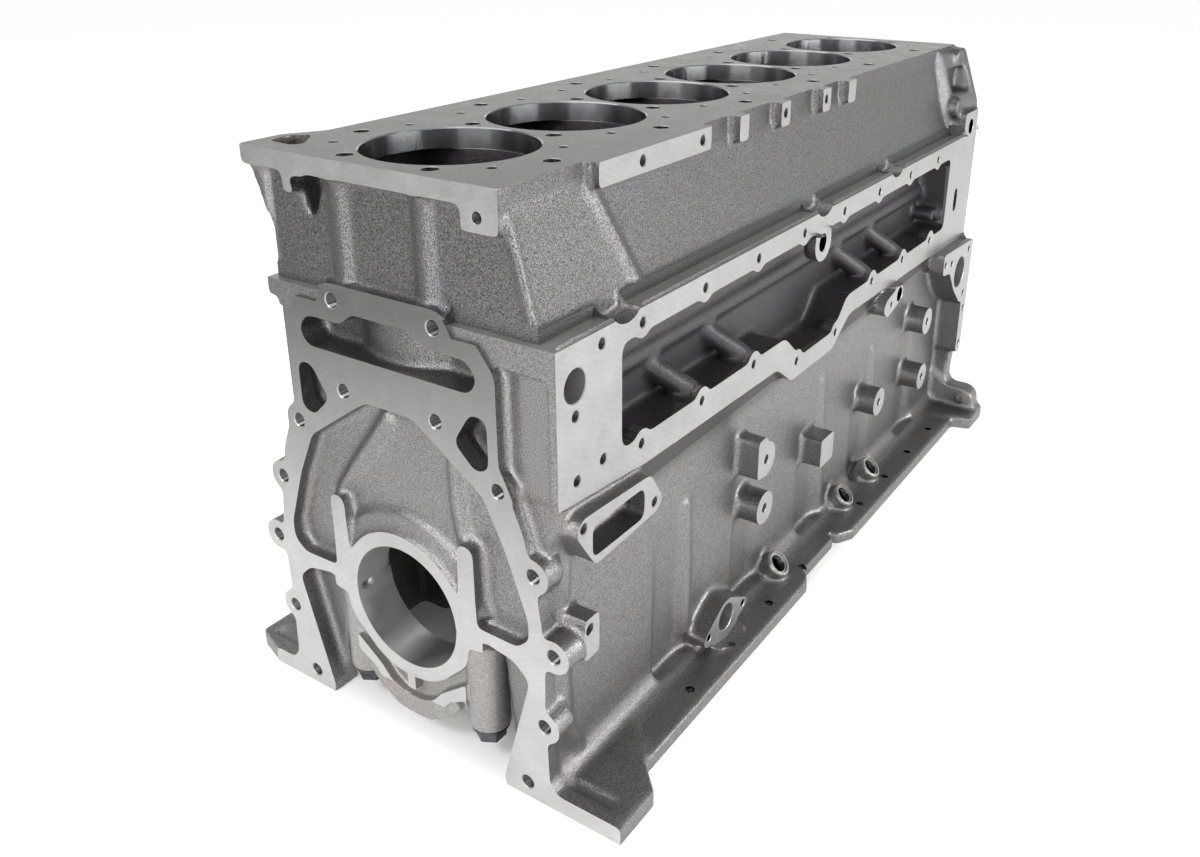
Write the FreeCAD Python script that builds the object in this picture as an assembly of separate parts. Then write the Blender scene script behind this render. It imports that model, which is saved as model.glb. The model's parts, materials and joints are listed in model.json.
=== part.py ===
import FreeCAD, Part
import os
from math import acos, cos, hypot, pi, radians, sin, tan

# Cylinder block of an in-line six diesel engine, with its seven main bearing caps,
# their bolts and washers. Millimetres. The origin is on the crankshaft centreline
# at the front machined face, X runs along the crankshaft to the rear, Z is up, and
# the side with the long cover opening faces -Y.

V = FreeCAD.Vector
PARTS = "parts"

# Overall sizes
BLOCK_LENGTH = 1060.0
DECK_Z = 430.0
PAN_Z = -155.0
CYLINDERS = 6
BORE_PITCH = 171.45
FIRST_BORE_X = 101.5

# Cylinders
LINER_SEAT_R = 80.5
LINER_SEAT_DEPTH = 16.5
BORE_R = 78.5
LOWER_BORE_R = 75.0
LOWER_BORE_TOP_Z = 250.0
BARREL_R = 89.0
JACKET_HALF_X = 64.0
JACKET_HALF_Y = 116.0
JACKET_BOTTOM_Z = 262.0
DECK_THICKNESS = 21.0

# Main bearings
MAIN_R = 64.95
MAIN_WIDTH = 45.5
MAIN_RING_R = 78.5
CAP_WIDTH = 194.0
REGISTER_DEPTH = 11.0
REGISTER_RELIEF = 3.0
BOLT_Y = 81.5
BOLT_R = 10.0
BOLT_CLEARANCE = 0.4
BOLT_ENGAGEMENT = 62.0
BOLT_HEAD_R = 15.5
BOLT_HEAD_HEIGHT = 13.0
WASHER_R = 19.0
WASHER_THICKNESS = 3.5
COLUMN_R = 20.5
COLUMN_BOTTOM_Z = -112.0
CAP_BODY_Z = -96.0
COLUMN_RIB_HALF = 9.5
COLUMN_RIB_TOP_Z = 98.0
SLING_BOTTOM_Z = -127.0
SLING_THICKNESS = 15.0
SLING_WIDTH = 18.0
TANG_LENGTH = 11.0
TANG_DEPTH = 2.5
TANG_HEIGHT = 8.0

# Crankcase
BLEND_HEIGHT = 26.0
LUG_EAR_Y = 219.0
LUG_EAR_Z = -123.0
LUG_EAR_THICKNESS = 26.0
LUG_EAR_HOLE_R = 6.5
FOOT_GROOVE_X = 23.0
FOOT_GROOVE_R = 9.0
WALL_Y = 166.0
WALL_THICKNESS = 12.0
WEB_THICKNESS = 24.0
FRONT_WALL = 34.0
BAY_TOP_Z = 172.0
BAY_SHOULDER_Z = 105.0
BAY_ROOF_HALF_Y = 100.0
LEG_INNER_Y = 118.0
RAIL_Y = 222.0
RAIL_THICKNESS = 15.0
FOOT_Y = 249.0
FOOT_LENGTH = 57.0
FOOT_THICKNESS = 19.0
FRONT_FOOT_RUN = 152.0
REAR_FOOT_RUN = 82.0
FOOT_CHAMFER = (14.0, 45.0)
RAIL_COVE_R = 30.0
PANEL_START = 2.0
PANEL_LENGTH = 72.0
PANEL_DEPTH = 7.0
PANEL_Z = (-134.0, 62.0)

# Water jacket walls and the ledge round the block
LEDGE_Z = 307.0
LEDGE_BOTTOM_Z = 282.0
UPPER_WALL_BASE_Y = 165.0
UPPER_WALL_TOP_Y = 137.0
FAR_WALL_Y = 141.0
FAR_LEDGE_Y = 148.0
FAR_LEDGE_BOTTOM_Z = 291.0
MIDDLE_WALL_Y = 146.0
FRONT_WALL_SETBACK = 10.0
FLANGE_THICKNESS = 12.0
FLANGE_HALF_Y = 126.0

FRONT_COLUMN_R = 17.0
HOLLOW_DEPTH = 32.0

# Deck plate
LIP_HEIGHT = 17.0
EAR_Y = 162.0
EAR_LENGTH = 49.0
EAR_END_X = 86.0
STRIP_Y = 150.0
STRIP_X = (115.0, 304.0)
STRIP_HEIGHT = 22.0
DECK_LUG_X = ((362.0, 381.0), (456.0, 477.0), (562.0, 584.0), (636.0, 658.0))
DECK_LUG_HEIGHT = 26.0

# Side cover face and the long opening behind it
COVER_Y = 186.0
COVER_BOTTOM_Z = 148.0
COVER_FRONT_BOTTOM_Z = 166.0
COVER_HOLE_X = 129.0
COVER_HOLE_PITCH = 109.2
COVER_HOLES = 8
COVER_HOLE_TOP_Z = 293.0
COVER_HOLE_BOTTOM_Z = 176.0
COVER_HOLE_R = 4.8
COVER_LAND_R = 14.5
DIP_X = (436.0, 594.0)
DIP_DEPTH = 35.0
END_PAD_LENGTH = 60.0
END_PAD_HEIGHT = 33.0
OPENING_X = (96.0, 950.0)
OPENING_Z = (180.0, 284.0)
GALLERY_DEPTH = 44.0
PIPE_X = (237.0, 346.0, 675.0, 784.0)
PIPE_R = 12.0
PIPE_RISE = 36.0
PIPE_SWEEP = 34.0
BAR_R = 10.0
BAR_INSET = 15.0
BAR_Z = 202.0
RIDGE_Z = 232.0
RIDGE_R = 11.0
SCOOP_X = (105.0, 508.0, 733.0)
SCOOP_R = 30.0
SCOOP_DEPTH = 7.0
LUG_X = 508.0
LUG_Z = 269.0
LUG_R = 22.0
LUG_BORE_R = 10.5

# Front face: threaded holes as (half spacing in Y, Z), and the pockets
FRONT_HOLES = ((123.3, 166.9), (158.6, 95.1), (178.8, 19.9), (166.3, -62.6), (144.4, -137.8))
FRONT_INNER_HOLES = ((56.7, 214.4), (60.5, 301.7))
FRONT_HOLE_R = 7.0
FRONT_BOSS_R = 17.0
FRONT_BOSS_DEPTH = 24.0
FRONT_HOLE_DEPTH = 28.0
ARCH_DEPTH = 14.0
SLOT_DEPTH = 29.0
TRIANGLE_DEPTH = 24.0
LEG_POCKET_DEPTH = 20.0

# The flange at the rear end of the side wall: holes as (distance from the rear face, Z)
REAR_FLANGE_Y = 203.0
REAR_PORT_R = 24.0
REAR_FLANGE_HOLES = ((130.0, 131.0), (101.0, 126.0), (20.0, 129.0), (24.0, 58.0), (14.0, 30.0),
                     (14.0, -30.0))

# Holes in the deck, the rails and the pads
END_BOLT_X = 22.0
HEAD_BOLT_R = 8.0
HEAD_BOLT_DEPTH = 90.0
HEAD_BOLT_SIDE_Y = 112.0
HEAD_BOLT_LAND_Y = 49.0
WATER_HOLE_R = 5.0
WATER_HOLE_X = 48.5
WATER_HOLE_Y = 97.0
RAIL_HOLE_X = 107.0
RAIL_HOLE_PITCH = 92.0
RAIL_HOLES = 10
RAIL_HOLE_Y = 204.0
RAIL_HOLE_R = 5.0
SCALLOP_X = (455.0, 590.0)
SCALLOP_DEPTH = 14.0

# Cast bosses on the lower side wall: X, Z, radius, and the face they end in
BOSS_FACE_Y = 195.0
ROUND_BOSSES = ((373.0, 54.0, 21.0), (375.0, -9.0, 20.0), (721.0, -11.0, 20.0),
                (897.0, 52.0, 20.0), (899.0, -38.0, 20.0))
BOSS_HOLE_R = 5.5
BOSS_HOLE_DEPTH = 24.0
SQUARE_BOSS = (547.0, -9.0, 38.0)
TALL_BOSS = (36.0, 27.0, 22.0, 42.0)
PORT_X = (437.0, 637.0, 732.0)
PORT_MOUTH = (-191.0, -117.0)
PORT_LENGTH = 30.0
PORT_TILT = 45.0
PORT_R = 17.0
PORT_BORE_R = 9.5


def at(plane, level, u, v):
    """A point from two coordinates in a plane that is named by its two axes."""
    return {"yz": V(level, u, v), "xz": V(u, level, v), "xy": V(u, v, level)}[plane]


def rounded_wire(corners, plane, level):
    """A closed wire of straight runs and tangent arcs: corners are (u, v) or (u, v, radius)."""
    count = len(corners)
    starts, ends, middles = [], [], []
    for i, corner in enumerate(corners):
        here = V(corner[0], corner[1], 0)
        before = V(*corners[i - 1][:2], 0) - here
        after = V(*corners[(i + 1) % count][:2], 0) - here
        radius = corner[2] if len(corner) > 2 else 0
        one, two = before.normalize() * 1, after.normalize() * 1
        half = acos(max(-1, min(1, one.dot(two)))) / 2
        reach = radius / tan(half) if radius else 0
        room = 0.49 * min(hypot(corners[i - 1][0] - here.x, corners[i - 1][1] - here.y),
                          hypot(corners[(i + 1) % count][0] - here.x,
                                corners[(i + 1) % count][1] - here.y))
        reach = min(reach, room)
        radius = reach * tan(half)
        starts.append(here + one * reach)
        ends.append(here + two * reach)
        bisector = (one + two)
        if radius and bisector.Length > 1e-6:
            centre = here + bisector.normalize() * (radius / sin(half))
            middles.append(centre + (here - centre).normalize() * radius)
        else:
            middles.append(None)
    edges = []
    for i in range(count):
        if middles[i]:
            points = [at(plane, level, p.x, p.y) for p in (starts[i], middles[i], ends[i])]
            edges.append(Part.Arc(*points).toShape())
        a, b = ends[i], starts[(i + 1) % count]
        if (a - b).Length > 1e-6:
            edges.append(Part.makeLine(at(plane, level, a.x, a.y), at(plane, level, b.x, b.y)))
    return Part.Wire(edges)


def prism(corners, plane, start, end):
    """A plate of the given outline, from one level to another along the plane's normal."""
    face = Part.Face(rounded_wire(corners, plane, start))
    return face.extrude(at(plane, end - start, 0, 0))


def box(x0, x1, y0, y1, z0, z1):
    low = V(min(x0, x1), min(y0, y1), min(z0, z1))
    return Part.makeBox(abs(x1 - x0), abs(y1 - y0), abs(z1 - z0), low)


def rod(radius, start, end):
    """A cylinder from one point to another."""
    start, end = V(*start), V(*end)
    return Part.makeCylinder(radius, (end - start).Length, start, end - start)


def both(half):
    """The corners of a symmetrical outline from those of its -Y half, top to bottom."""
    return [(-c[0], *c[1:]) for c in half] + [tuple(c) for c in reversed(half)]


def bore_x(index):
    return FIRST_BORE_X + index * BORE_PITCH


def main_x(index):
    """The middle of a main bearing: the end ones are flush with the end faces."""
    if index == 0:
        return MAIN_WIDTH / 2
    if index == CYLINDERS:
        return BLOCK_LENGTH - MAIN_WIDTH / 2
    return FIRST_BORE_X + (index - 0.5) * BORE_PITCH


def crankcase():
    """The lower half: skirt walls, pan rails and the roof that the barrels stand on."""
    rail_top = PAN_Z + RAIL_THICKNESS
    half = [(MIDDLE_WALL_Y, LEDGE_Z), (MIDDLE_WALL_Y, COVER_BOTTOM_Z),
            (WALL_Y, COVER_BOTTOM_Z - BLEND_HEIGHT), (WALL_Y, rail_top, RAIL_COVE_R),
            (RAIL_Y, rail_top, 3), (RAIL_Y, PAN_Z)]
    body = prism(both(half), "yz", FLANGE_THICKNESS, BLOCK_LENGTH)
    blend = [(-MIDDLE_WALL_Y, COVER_FRONT_BOTTOM_Z + 6), (-COVER_Y + 8, COVER_FRONT_BOTTOM_Z + 6),
             (-COVER_Y + 4, COVER_BOTTOM_Z + 2, 6), (-WALL_Y, COVER_BOTTOM_Z - BLEND_HEIGHT - 14, 30),
             (-WALL_Y, COVER_BOTTOM_Z - BLEND_HEIGHT - 40), (-MIDDLE_WALL_Y, 100)]
    return [body, prism(blend, "yz", FLANGE_THICKNESS, BLOCK_LENGTH - 4)]


def wall_panels():
    """The shallow sunk panel beyond each bulkhead on the side walls, fading out upwards."""
    low, high = PANEL_Z
    cuts = []
    for k in range(1, CYLINDERS):
        x0 = main_x(k) - PANEL_START
        x1 = x0 + PANEL_LENGTH
        for side in (-1, 1):
            profile = [(x0, side * (WALL_Y + 8)), (x0, side * (WALL_Y - PANEL_DEPTH)),
                       (x1 - 26, side * (WALL_Y - PANEL_DEPTH), 20),
                       (x1, side * WALL_Y, 10), (x1 + 4, side * (WALL_Y + 8))]
            face = Part.Face(rounded_wire(profile, "xy", low))
            cuts.append(face.extrude(V(0, side * PANEL_DEPTH, high - low)))
    return cuts


def jacket_walls():
    """The upper half: sloping walls round the barrels, and the deck plate over them."""
    section = [(-UPPER_WALL_BASE_Y, LEDGE_BOTTOM_Z), (-UPPER_WALL_BASE_Y, LEDGE_Z),
               (-UPPER_WALL_TOP_Y, DECK_Z - LIP_HEIGHT), (-UPPER_WALL_TOP_Y, DECK_Z - 1),
               (FAR_WALL_Y, DECK_Z - 1), (FAR_WALL_Y, LEDGE_BOTTOM_Z)]
    walls = prism(section, "yz", FRONT_WALL_SETBACK, BLOCK_LENGTH - FRONT_WALL_SETBACK)
    deck = prism([(0, -UPPER_WALL_TOP_Y), (BLOCK_LENGTH, -UPPER_WALL_TOP_Y),
                  (BLOCK_LENGTH, FAR_WALL_Y), (EAR_END_X, FAR_WALL_Y, 12),
                  (EAR_LENGTH, EAR_Y, 12), (0, EAR_Y, 4)],
                 "xy", DECK_Z - LIP_HEIGHT, DECK_Z)
    ear_z = DECK_Z - LIP_HEIGHT
    ear = prism([(FAR_WALL_Y - 2, ear_z + 2), (EAR_Y - 4, ear_z + 2), (EAR_Y - 6, ear_z - 6),
                 (FAR_WALL_Y - 2, ear_z - 52)], "yz", FRONT_WALL_SETBACK - 4, EAR_LENGTH - 6)
    strip = box(*STRIP_X, -STRIP_Y, -UPPER_WALL_TOP_Y + 4, DECK_Z - STRIP_HEIGHT, DECK_Z)
    lugs = [box(*span, -STRIP_Y, -UPPER_WALL_TOP_Y + 4, DECK_Z - DECK_LUG_HEIGHT, DECK_Z)
            for span in DECK_LUG_X]
    ledge = box(0, BLOCK_LENGTH, -COVER_Y, FAR_WALL_Y - 6, LEDGE_BOTTOM_Z, LEDGE_Z)
    far_ledge = box(0, BLOCK_LENGTH, FAR_WALL_Y - 8, FAR_LEDGE_Y, FAR_LEDGE_BOTTOM_Z, LEDGE_Z)
    lip_lugs = [box(0, FRONT_WALL_SETBACK + 4, -UPPER_WALL_TOP_Y, -99, DECK_Z - 38, DECK_Z - 5),
                box(0, FRONT_WALL_SETBACK + 4, 80, 107, DECK_Z - 36, DECK_Z - 5)]
    columns = [rod(FRONT_COLUMN_R, (END_BOLT_X, side * HEAD_BOLT_LAND_Y, LEDGE_Z - 4),
                   (END_BOLT_X, side * HEAD_BOLT_LAND_Y, DECK_Z - 4)) for side in (-1, 1)]
    return [walls, deck, ear, strip, ledge, far_ledge] + lugs + lip_lugs + columns


def cover_side():
    """The box along the side that carries the long cover face."""
    dip_z = COVER_BOTTOM_Z - DIP_DEPTH + 8
    outline = [(0, LEDGE_Z - 2), (0, COVER_FRONT_BOTTOM_Z), (140, COVER_BOTTOM_Z + 6, 60),
               (DIP_X[0] - 30, COVER_BOTTOM_Z, 25), (DIP_X[0] + 8, dip_z, 14),
               (DIP_X[1] - 36, dip_z, 14), (DIP_X[1] + 14, COVER_BOTTOM_Z + 6, 30),
               (BLOCK_LENGTH, COVER_BOTTOM_Z - 2), (BLOCK_LENGTH, LEDGE_Z - 2)]
    side = prism(outline, "xz", -COVER_Y, -MIDDLE_WALL_Y + 6)
    recess = box(-1, FRONT_WALL_SETBACK, -COVER_Y + 7, -FLANGE_HALF_Y, PAN_Z, LEDGE_BOTTOM_Z)
    end_pad = box(BLOCK_LENGTH - END_PAD_LENGTH, BLOCK_LENGTH - 3, -COVER_Y, -UPPER_WALL_TOP_Y,
                  LEDGE_Z - 4, LEDGE_Z + END_PAD_HEIGHT)
    return [side.cut(recess), end_pad]


def rear_flare():
    """The upper wall spreads out to the rear flange, with two pockets in the spread part."""
    end = BLOCK_LENGTH
    low = [(end - 92, -150), (end - 66, -UPPER_WALL_BASE_Y, 20), (end, -COVER_Y + 4), (end, -120),
           (end - 92, -120)]
    high = [(end - 88, -128), (end - 72, -UPPER_WALL_TOP_Y - 4, 20), (end, -UPPER_WALL_TOP_Y - 18),
            (end, -98), (end - 88, -98)]
    knee = LEDGE_Z + 44
    flare = Part.makeLoft([rounded_wire(low, "xy", knee), rounded_wire(high, "xy", DECK_Z - 4)],
                          True, True)
    foot = prism(low, "xy", LEDGE_Z - 6, knee)
    pocket = box(end - 58, end - 14, -COVER_Y, -UPPER_WALL_TOP_Y - 10, DECK_Z - 62, DECK_Z - 28)
    bumps = [rod(12, (end - 26, -130, DECK_Z - 14), (end - 26, -UPPER_WALL_TOP_Y - 21, DECK_Z - 14)),
             rod(14, (end - 60, -130, DECK_Z - 82), (end - 60, -COVER_Y + 10, DECK_Z - 82))]
    return [flare.cut(pocket), foot] + bumps


def front_flange():
    """The raised frame of the front face, with a boss behind every threaded hole."""
    half = [(70, 318, 10), (81, 297, 6), (108, 297, 20), (FLANGE_HALF_Y, 272, 8),
            (FLANGE_HALF_Y, 190, 10), (150, 132, 20), (163, 74, 20), (170, 22, 20),
            (168, -40, 10), (171, PAN_Z + 30, 6), (180, PAN_Z + FOOT_THICKNESS, 4),
            (FOOT_Y, PAN_Z + FOOT_THICKNESS), (FOOT_Y, PAN_Z)]
    frame = prism(both(half), "yz", 0, FLANGE_THICKNESS + 2)
    bosses = [rod(FRONT_BOSS_R, (0, side * y, z), (FRONT_BOSS_DEPTH, side * y, z))
              for y, z in FRONT_HOLES[:4] for side in (-1, 1)]
    return [frame] + bosses


def rear_flange():
    """The frame of the rear face, which carries the flywheel housing."""
    half = [(110, 312, 20), (158, 262, 20), (186, 150, 40), (196, 0, 40),
            (190, -95, 20), (FOOT_Y, PAN_Z + FOOT_THICKNESS), (FOOT_Y, PAN_Z)]
    return [prism(both(half), "yz", BLOCK_LENGTH - 22, BLOCK_LENGTH)]


def feet():
    """Four feet that widen the pan rails at the ends and taper back to the wall."""
    shapes = []
    inner = WALL_Y - 10
    for end, way, run in ((0, 1, FRONT_FOOT_RUN), (BLOCK_LENGTH, -1, REAR_FOOT_RUN)):
        for side in (-1, 1):
            plan = [(end, side * inner), (end, side * FOOT_Y), (end + way * FOOT_LENGTH, side * FOOT_Y),
                    (end + way * run, side * inner)]
            shapes.append(prism(plan, "xy", PAN_Z, PAN_Z + FOOT_THICKNESS))
    for side in (-1, 1):
        shapes.append(prism([(side * inner, PAN_Z + 2), (side * (LUG_EAR_Y + 21), PAN_Z + 2),
                             (side * (LUG_EAR_Y + 21), LUG_EAR_Z + 21, 20),
                             (side * (LUG_EAR_Y - 22), LUG_EAR_Z + 21, 20), (side * inner, LUG_EAR_Z + 52)],
                            "yz", BLOCK_LENGTH - LUG_EAR_THICKNESS, BLOCK_LENGTH))
    return shapes


def foot_cuts():
    """The groove behind the front face on each front foot, and the corner taken off one."""
    cuts = []
    top = PAN_Z + FOOT_THICKNESS
    for side in (-1, 1):
        cuts.append(rod(FOOT_GROOVE_R, (FOOT_GROOVE_X, side * (WALL_Y + 14), top + FOOT_GROOVE_R - 5),
                        (FOOT_GROOVE_X, side * (FOOT_Y - 16), top + FOOT_GROOVE_R - 5)))
        cuts.append(rod(LUG_EAR_HOLE_R, (BLOCK_LENGTH - 40, side * LUG_EAR_Y, LUG_EAR_Z),
                        (BLOCK_LENGTH + 1, side * LUG_EAR_Y, LUG_EAR_Z)))
    dx, dy = FOOT_CHAMFER
    cuts.append(prism([(-1, FOOT_Y - dy), (dx, FOOT_Y + 1), (-1, FOOT_Y + 1)], "xy",
                      PAN_Z - 1, top + 1))
    return cuts


def wall_bosses():
    """What stands out from the lower side wall: bosses, pads and flanges."""
    root = -WALL_Y + 6
    shapes = []
    for x, z, radius in ROUND_BOSSES:
        shapes.append(rod(radius, (x, root, z), (x, -BOSS_FACE_Y, z)))
    x, z, radius = ROUND_BOSSES[0]
    shapes.append(box(x - radius, x, root, -BOSS_FACE_Y, z - radius + 2, z + radius + 8))
    x, z, size = SQUARE_BOSS
    shapes.append(box(x - size / 2, x + size / 2, root, -BOSS_FACE_Y, z - size / 2, z + size / 2))
    x, z, width, height = TALL_BOSS
    shapes.append(box(x - width / 2, x + width / 2, root, -BOSS_FACE_Y, z - height / 2, z + height / 2))
    shapes.append(prism([(14, 140, 8), (24, 152, 8), (130, 146, 8), (153, 112, 8), (142, 103, 8),
                         (42, 98, 8)], "xz", -BOSS_FACE_Y, root))
    shapes.append(prism([(250, -116, 10), (300, -88, 26), (350, -116, 10), (350, -124, 8),
                         (304, -141, 26), (252, -128, 8)], "xz", -BOSS_FACE_Y + 4, root))
    shapes.append(prism([(704, 124, 14), (712, 138, 10), (768, 150, 14), (780, 128, 14),
                         (722, 112, 10)], "xz", -BOSS_FACE_Y, root))
    end = BLOCK_LENGTH
    shapes.append(prism([(end - 140, 116, 8), (end - 140, 148, 4), (end - 4, 141), (end - 4, -45, 8),
                         (end - 26, -45, 8), (end - 28, 44, 6), (end - 42, 48, 10), (end - 78, 78, 14),
                         (end - 106, 112, 10)], "xz", -REAR_FLANGE_Y, root))
    for x in PORT_X:
        shapes.append(rod(PORT_R, port_point(x, PORT_LENGTH), port_point(x, 0)))
    return shapes


def port_point(x, depth):
    """A point on the axis of a slanted port, at a depth below its mouth."""
    y, z = PORT_MOUTH
    return (x, y + depth * cos(radians(PORT_TILT)), z - depth * sin(radians(PORT_TILT)))


def bearing_saddles():
    """The thick part of each bulkhead round the crankshaft, with the bolt columns above."""
    shapes = []
    for k in range(CYLINDERS + 1):
        x0, x1 = main_x(k) - MAIN_WIDTH / 2, main_x(k) + MAIN_WIDTH / 2
        shapes.append(rod(MAIN_RING_R, (x0, 0, 0), (x1, 0, 0)))
        for side in (-1, 1):
            column = [(side * BOLT_Y - COLUMN_RIB_HALF, -2), (side * BOLT_Y + COLUMN_RIB_HALF, -2),
                      (side * BOLT_Y + COLUMN_RIB_HALF, COLUMN_RIB_TOP_Z, 9),
                      (side * BOLT_Y - COLUMN_RIB_HALF, COLUMN_RIB_TOP_Z, 9)]
            shapes.append(prism(column, "yz", x0, x1))
            shapes.append(box(x0, x1, side * 60, side * (CAP_WIDTH / 2 + 12), -REGISTER_DEPTH, 14))
    return shapes


def bay_cuts():
    """The crank bays between the bulkheads, open to the pan."""
    cuts = []
    inner = WALL_Y - WALL_THICKNESS
    half = [(BAY_ROOF_HALF_Y, BAY_TOP_Z, 20), (inner, BAY_SHOULDER_Z, 30), (inner, PAN_Z - 1)]
    for k in range(CYLINDERS):
        x0 = FRONT_WALL if k == 0 else main_x(k) + WEB_THICKNESS / 2
        x1 = BLOCK_LENGTH - FRONT_WALL if k == CYLINDERS - 1 else main_x(k + 1) - WEB_THICKNESS / 2
        cuts.append(prism(both(half), "yz", x0, x1))
    return cuts


def front_cuts():
    """Pockets in the front face, as deep as the casting needs them."""
    arch_half = [(27, 210, 12), (42, 201, 20), (107, 156, 20), (130, 108, 40), (152, 46, 20),
                 (152, 26, 12), (138, 14, 10), (CAP_WIDTH / 2 - 4, 15)]
    arch = prism(both(arch_half), "yz", -1, ARCH_DEPTH)
    keep = [rod(MAIN_RING_R, (-2, 0, 0), (ARCH_DEPTH + 1, 0, 0))]
    for side in (-1, 1):
        keep.append(prism([(side * BOLT_Y - COLUMN_RIB_HALF, 0),
                           (side * BOLT_Y + COLUMN_RIB_HALF, 0),
                           (side * BOLT_Y + COLUMN_RIB_HALF, COLUMN_RIB_TOP_Z, 9),
                           (side * BOLT_Y - COLUMN_RIB_HALF, COLUMN_RIB_TOP_Z, 9)],
                          "yz", -2, ARCH_DEPTH + 1))
    arch = arch.cut(keep)
    slot_half = [(36, 293, 8), (52, 281, 8), (96, 281, 14), (108, 266, 12), (98, 251, 12)]
    slot = prism(both(slot_half), "yz", -1, SLOT_DEPTH)
    barrel = rod(BARREL_R, (FIRST_BORE_X, 0, 200), (FIRST_BORE_X, 0, 320))
    hollow = [(FRONT_COLUMN_R + HEAD_BOLT_LAND_Y + 2, DECK_Z - 20, 5), (97, DECK_Z - 20, 4),
              (86, DECK_Z - 68, 5)]
    cuts = [arch, slot.cut(barrel), prism(hollow, "yz", -1, HOLLOW_DEPTH)]
    for side in (-1, 1):
        cuts.append(prism([(side * 77, 201, 8), (side * 97, 232, 9), (side * 115, 232, 10),
                           (side * 115, 184, 9), (side * 100, 179, 8)], "yz", -1, TRIANGLE_DEPTH))
        leg = [(side * 96, 3, 4), (side * 134, -4, 12), (side * 151, -20, 10),
               (side * 117, PAN_Z + 12), (side * 96, PAN_Z + 12)]
        cuts.append(prism(leg, "yz", -1, LEG_POCKET_DEPTH))
    return cuts


def cap_notch():
    """The slot through every bulkhead that the caps sit in and the crank goes in by."""
    half = [(CAP_WIDTH / 2, 0), (CAP_WIDTH / 2, -REGISTER_DEPTH),
            (CAP_WIDTH / 2 + 6, -REGISTER_DEPTH - REGISTER_RELIEF), (LEG_INNER_Y, PAN_Z - 1)]
    return prism(both(half), "yz", -1, BLOCK_LENGTH + 1)


def gallery_cut():
    """The long opening in the cover face, and the gallery behind it."""
    x0, x1 = OPENING_X
    z0, z1 = OPENING_Z
    low = z0 - DIP_DEPTH
    outline = [(x0, z0 + 4, 10), (x0, z1, 10), (x1, z1, 10), (x1, z0, 10),
               (DIP_X[1], z0, 24), (DIP_X[1] - 36, low, 18), (DIP_X[0] + 28, low, 18),
               (DIP_X[0] - 14, z0, 24)]
    cut = prism(outline, "xz", -COVER_Y - 1, -COVER_Y + GALLERY_DEPTH)
    lands = []
    for i in range(COVER_HOLES):
        x = COVER_HOLE_X + i * COVER_HOLE_PITCH
        lands.append(rod(COVER_LAND_R, (x, -COVER_Y - 2, COVER_HOLE_TOP_Z),
                         (x, -COVER_Y + 18, COVER_HOLE_TOP_Z)))
        z = cover_low_z(x)
        lands.append(rod(COVER_LAND_R, (x, -COVER_Y - 2, z), (x, -COVER_Y + 18, z)))
    lands.append(rod(LUG_R, (LUG_X, -COVER_Y - 2, LUG_Z), (LUG_X, -COVER_Y + 16, LUG_Z)))
    return cut.cut(lands)


def ledge_scoops():
    """Shallow scoops in the top of the ledge, where the cover bolts need room."""
    return [rod(SCOOP_R, (x, -UPPER_WALL_BASE_Y + 2, LEDGE_Z + SCOOP_R - SCOOP_DEPTH),
                (x, -COVER_Y - 1, LEDGE_Z + SCOOP_R - SCOOP_DEPTH)) for x in SCOOP_X]


def cover_low_z(x):
    """The height of a hole in the lower edge of the cover face, which dips in the middle."""
    return COVER_HOLE_BOTTOM_Z - (DIP_DEPTH if DIP_X[0] < x < DIP_X[1] else 0)


def gallery_inside():
    """The cast ridge in the gallery, and the short pipes from it to the cover edge."""
    back = -COVER_Y + GALLERY_DEPTH
    shapes = [rod(RIDGE_R, (OPENING_X[0] - 4, back + 3, RIDGE_Z), (OPENING_X[1] + 4, back + 3, RIDGE_Z)),
              rod(BAR_R, (OPENING_X[1] - BAR_INSET, back + 3, BAR_Z),
                  (OPENING_X[1] - BAR_INSET, -COVER_Y + 12, BAR_Z))]
    for x in PIPE_X:
        foot = (x, -COVER_Y + 13, COVER_HOLE_BOTTOM_Z + 8)
        shapes.append(rod(PIPE_R, foot, (x - PIPE_SWEEP, back + 5, foot[2] + PIPE_RISE)))
    return shapes


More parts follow.
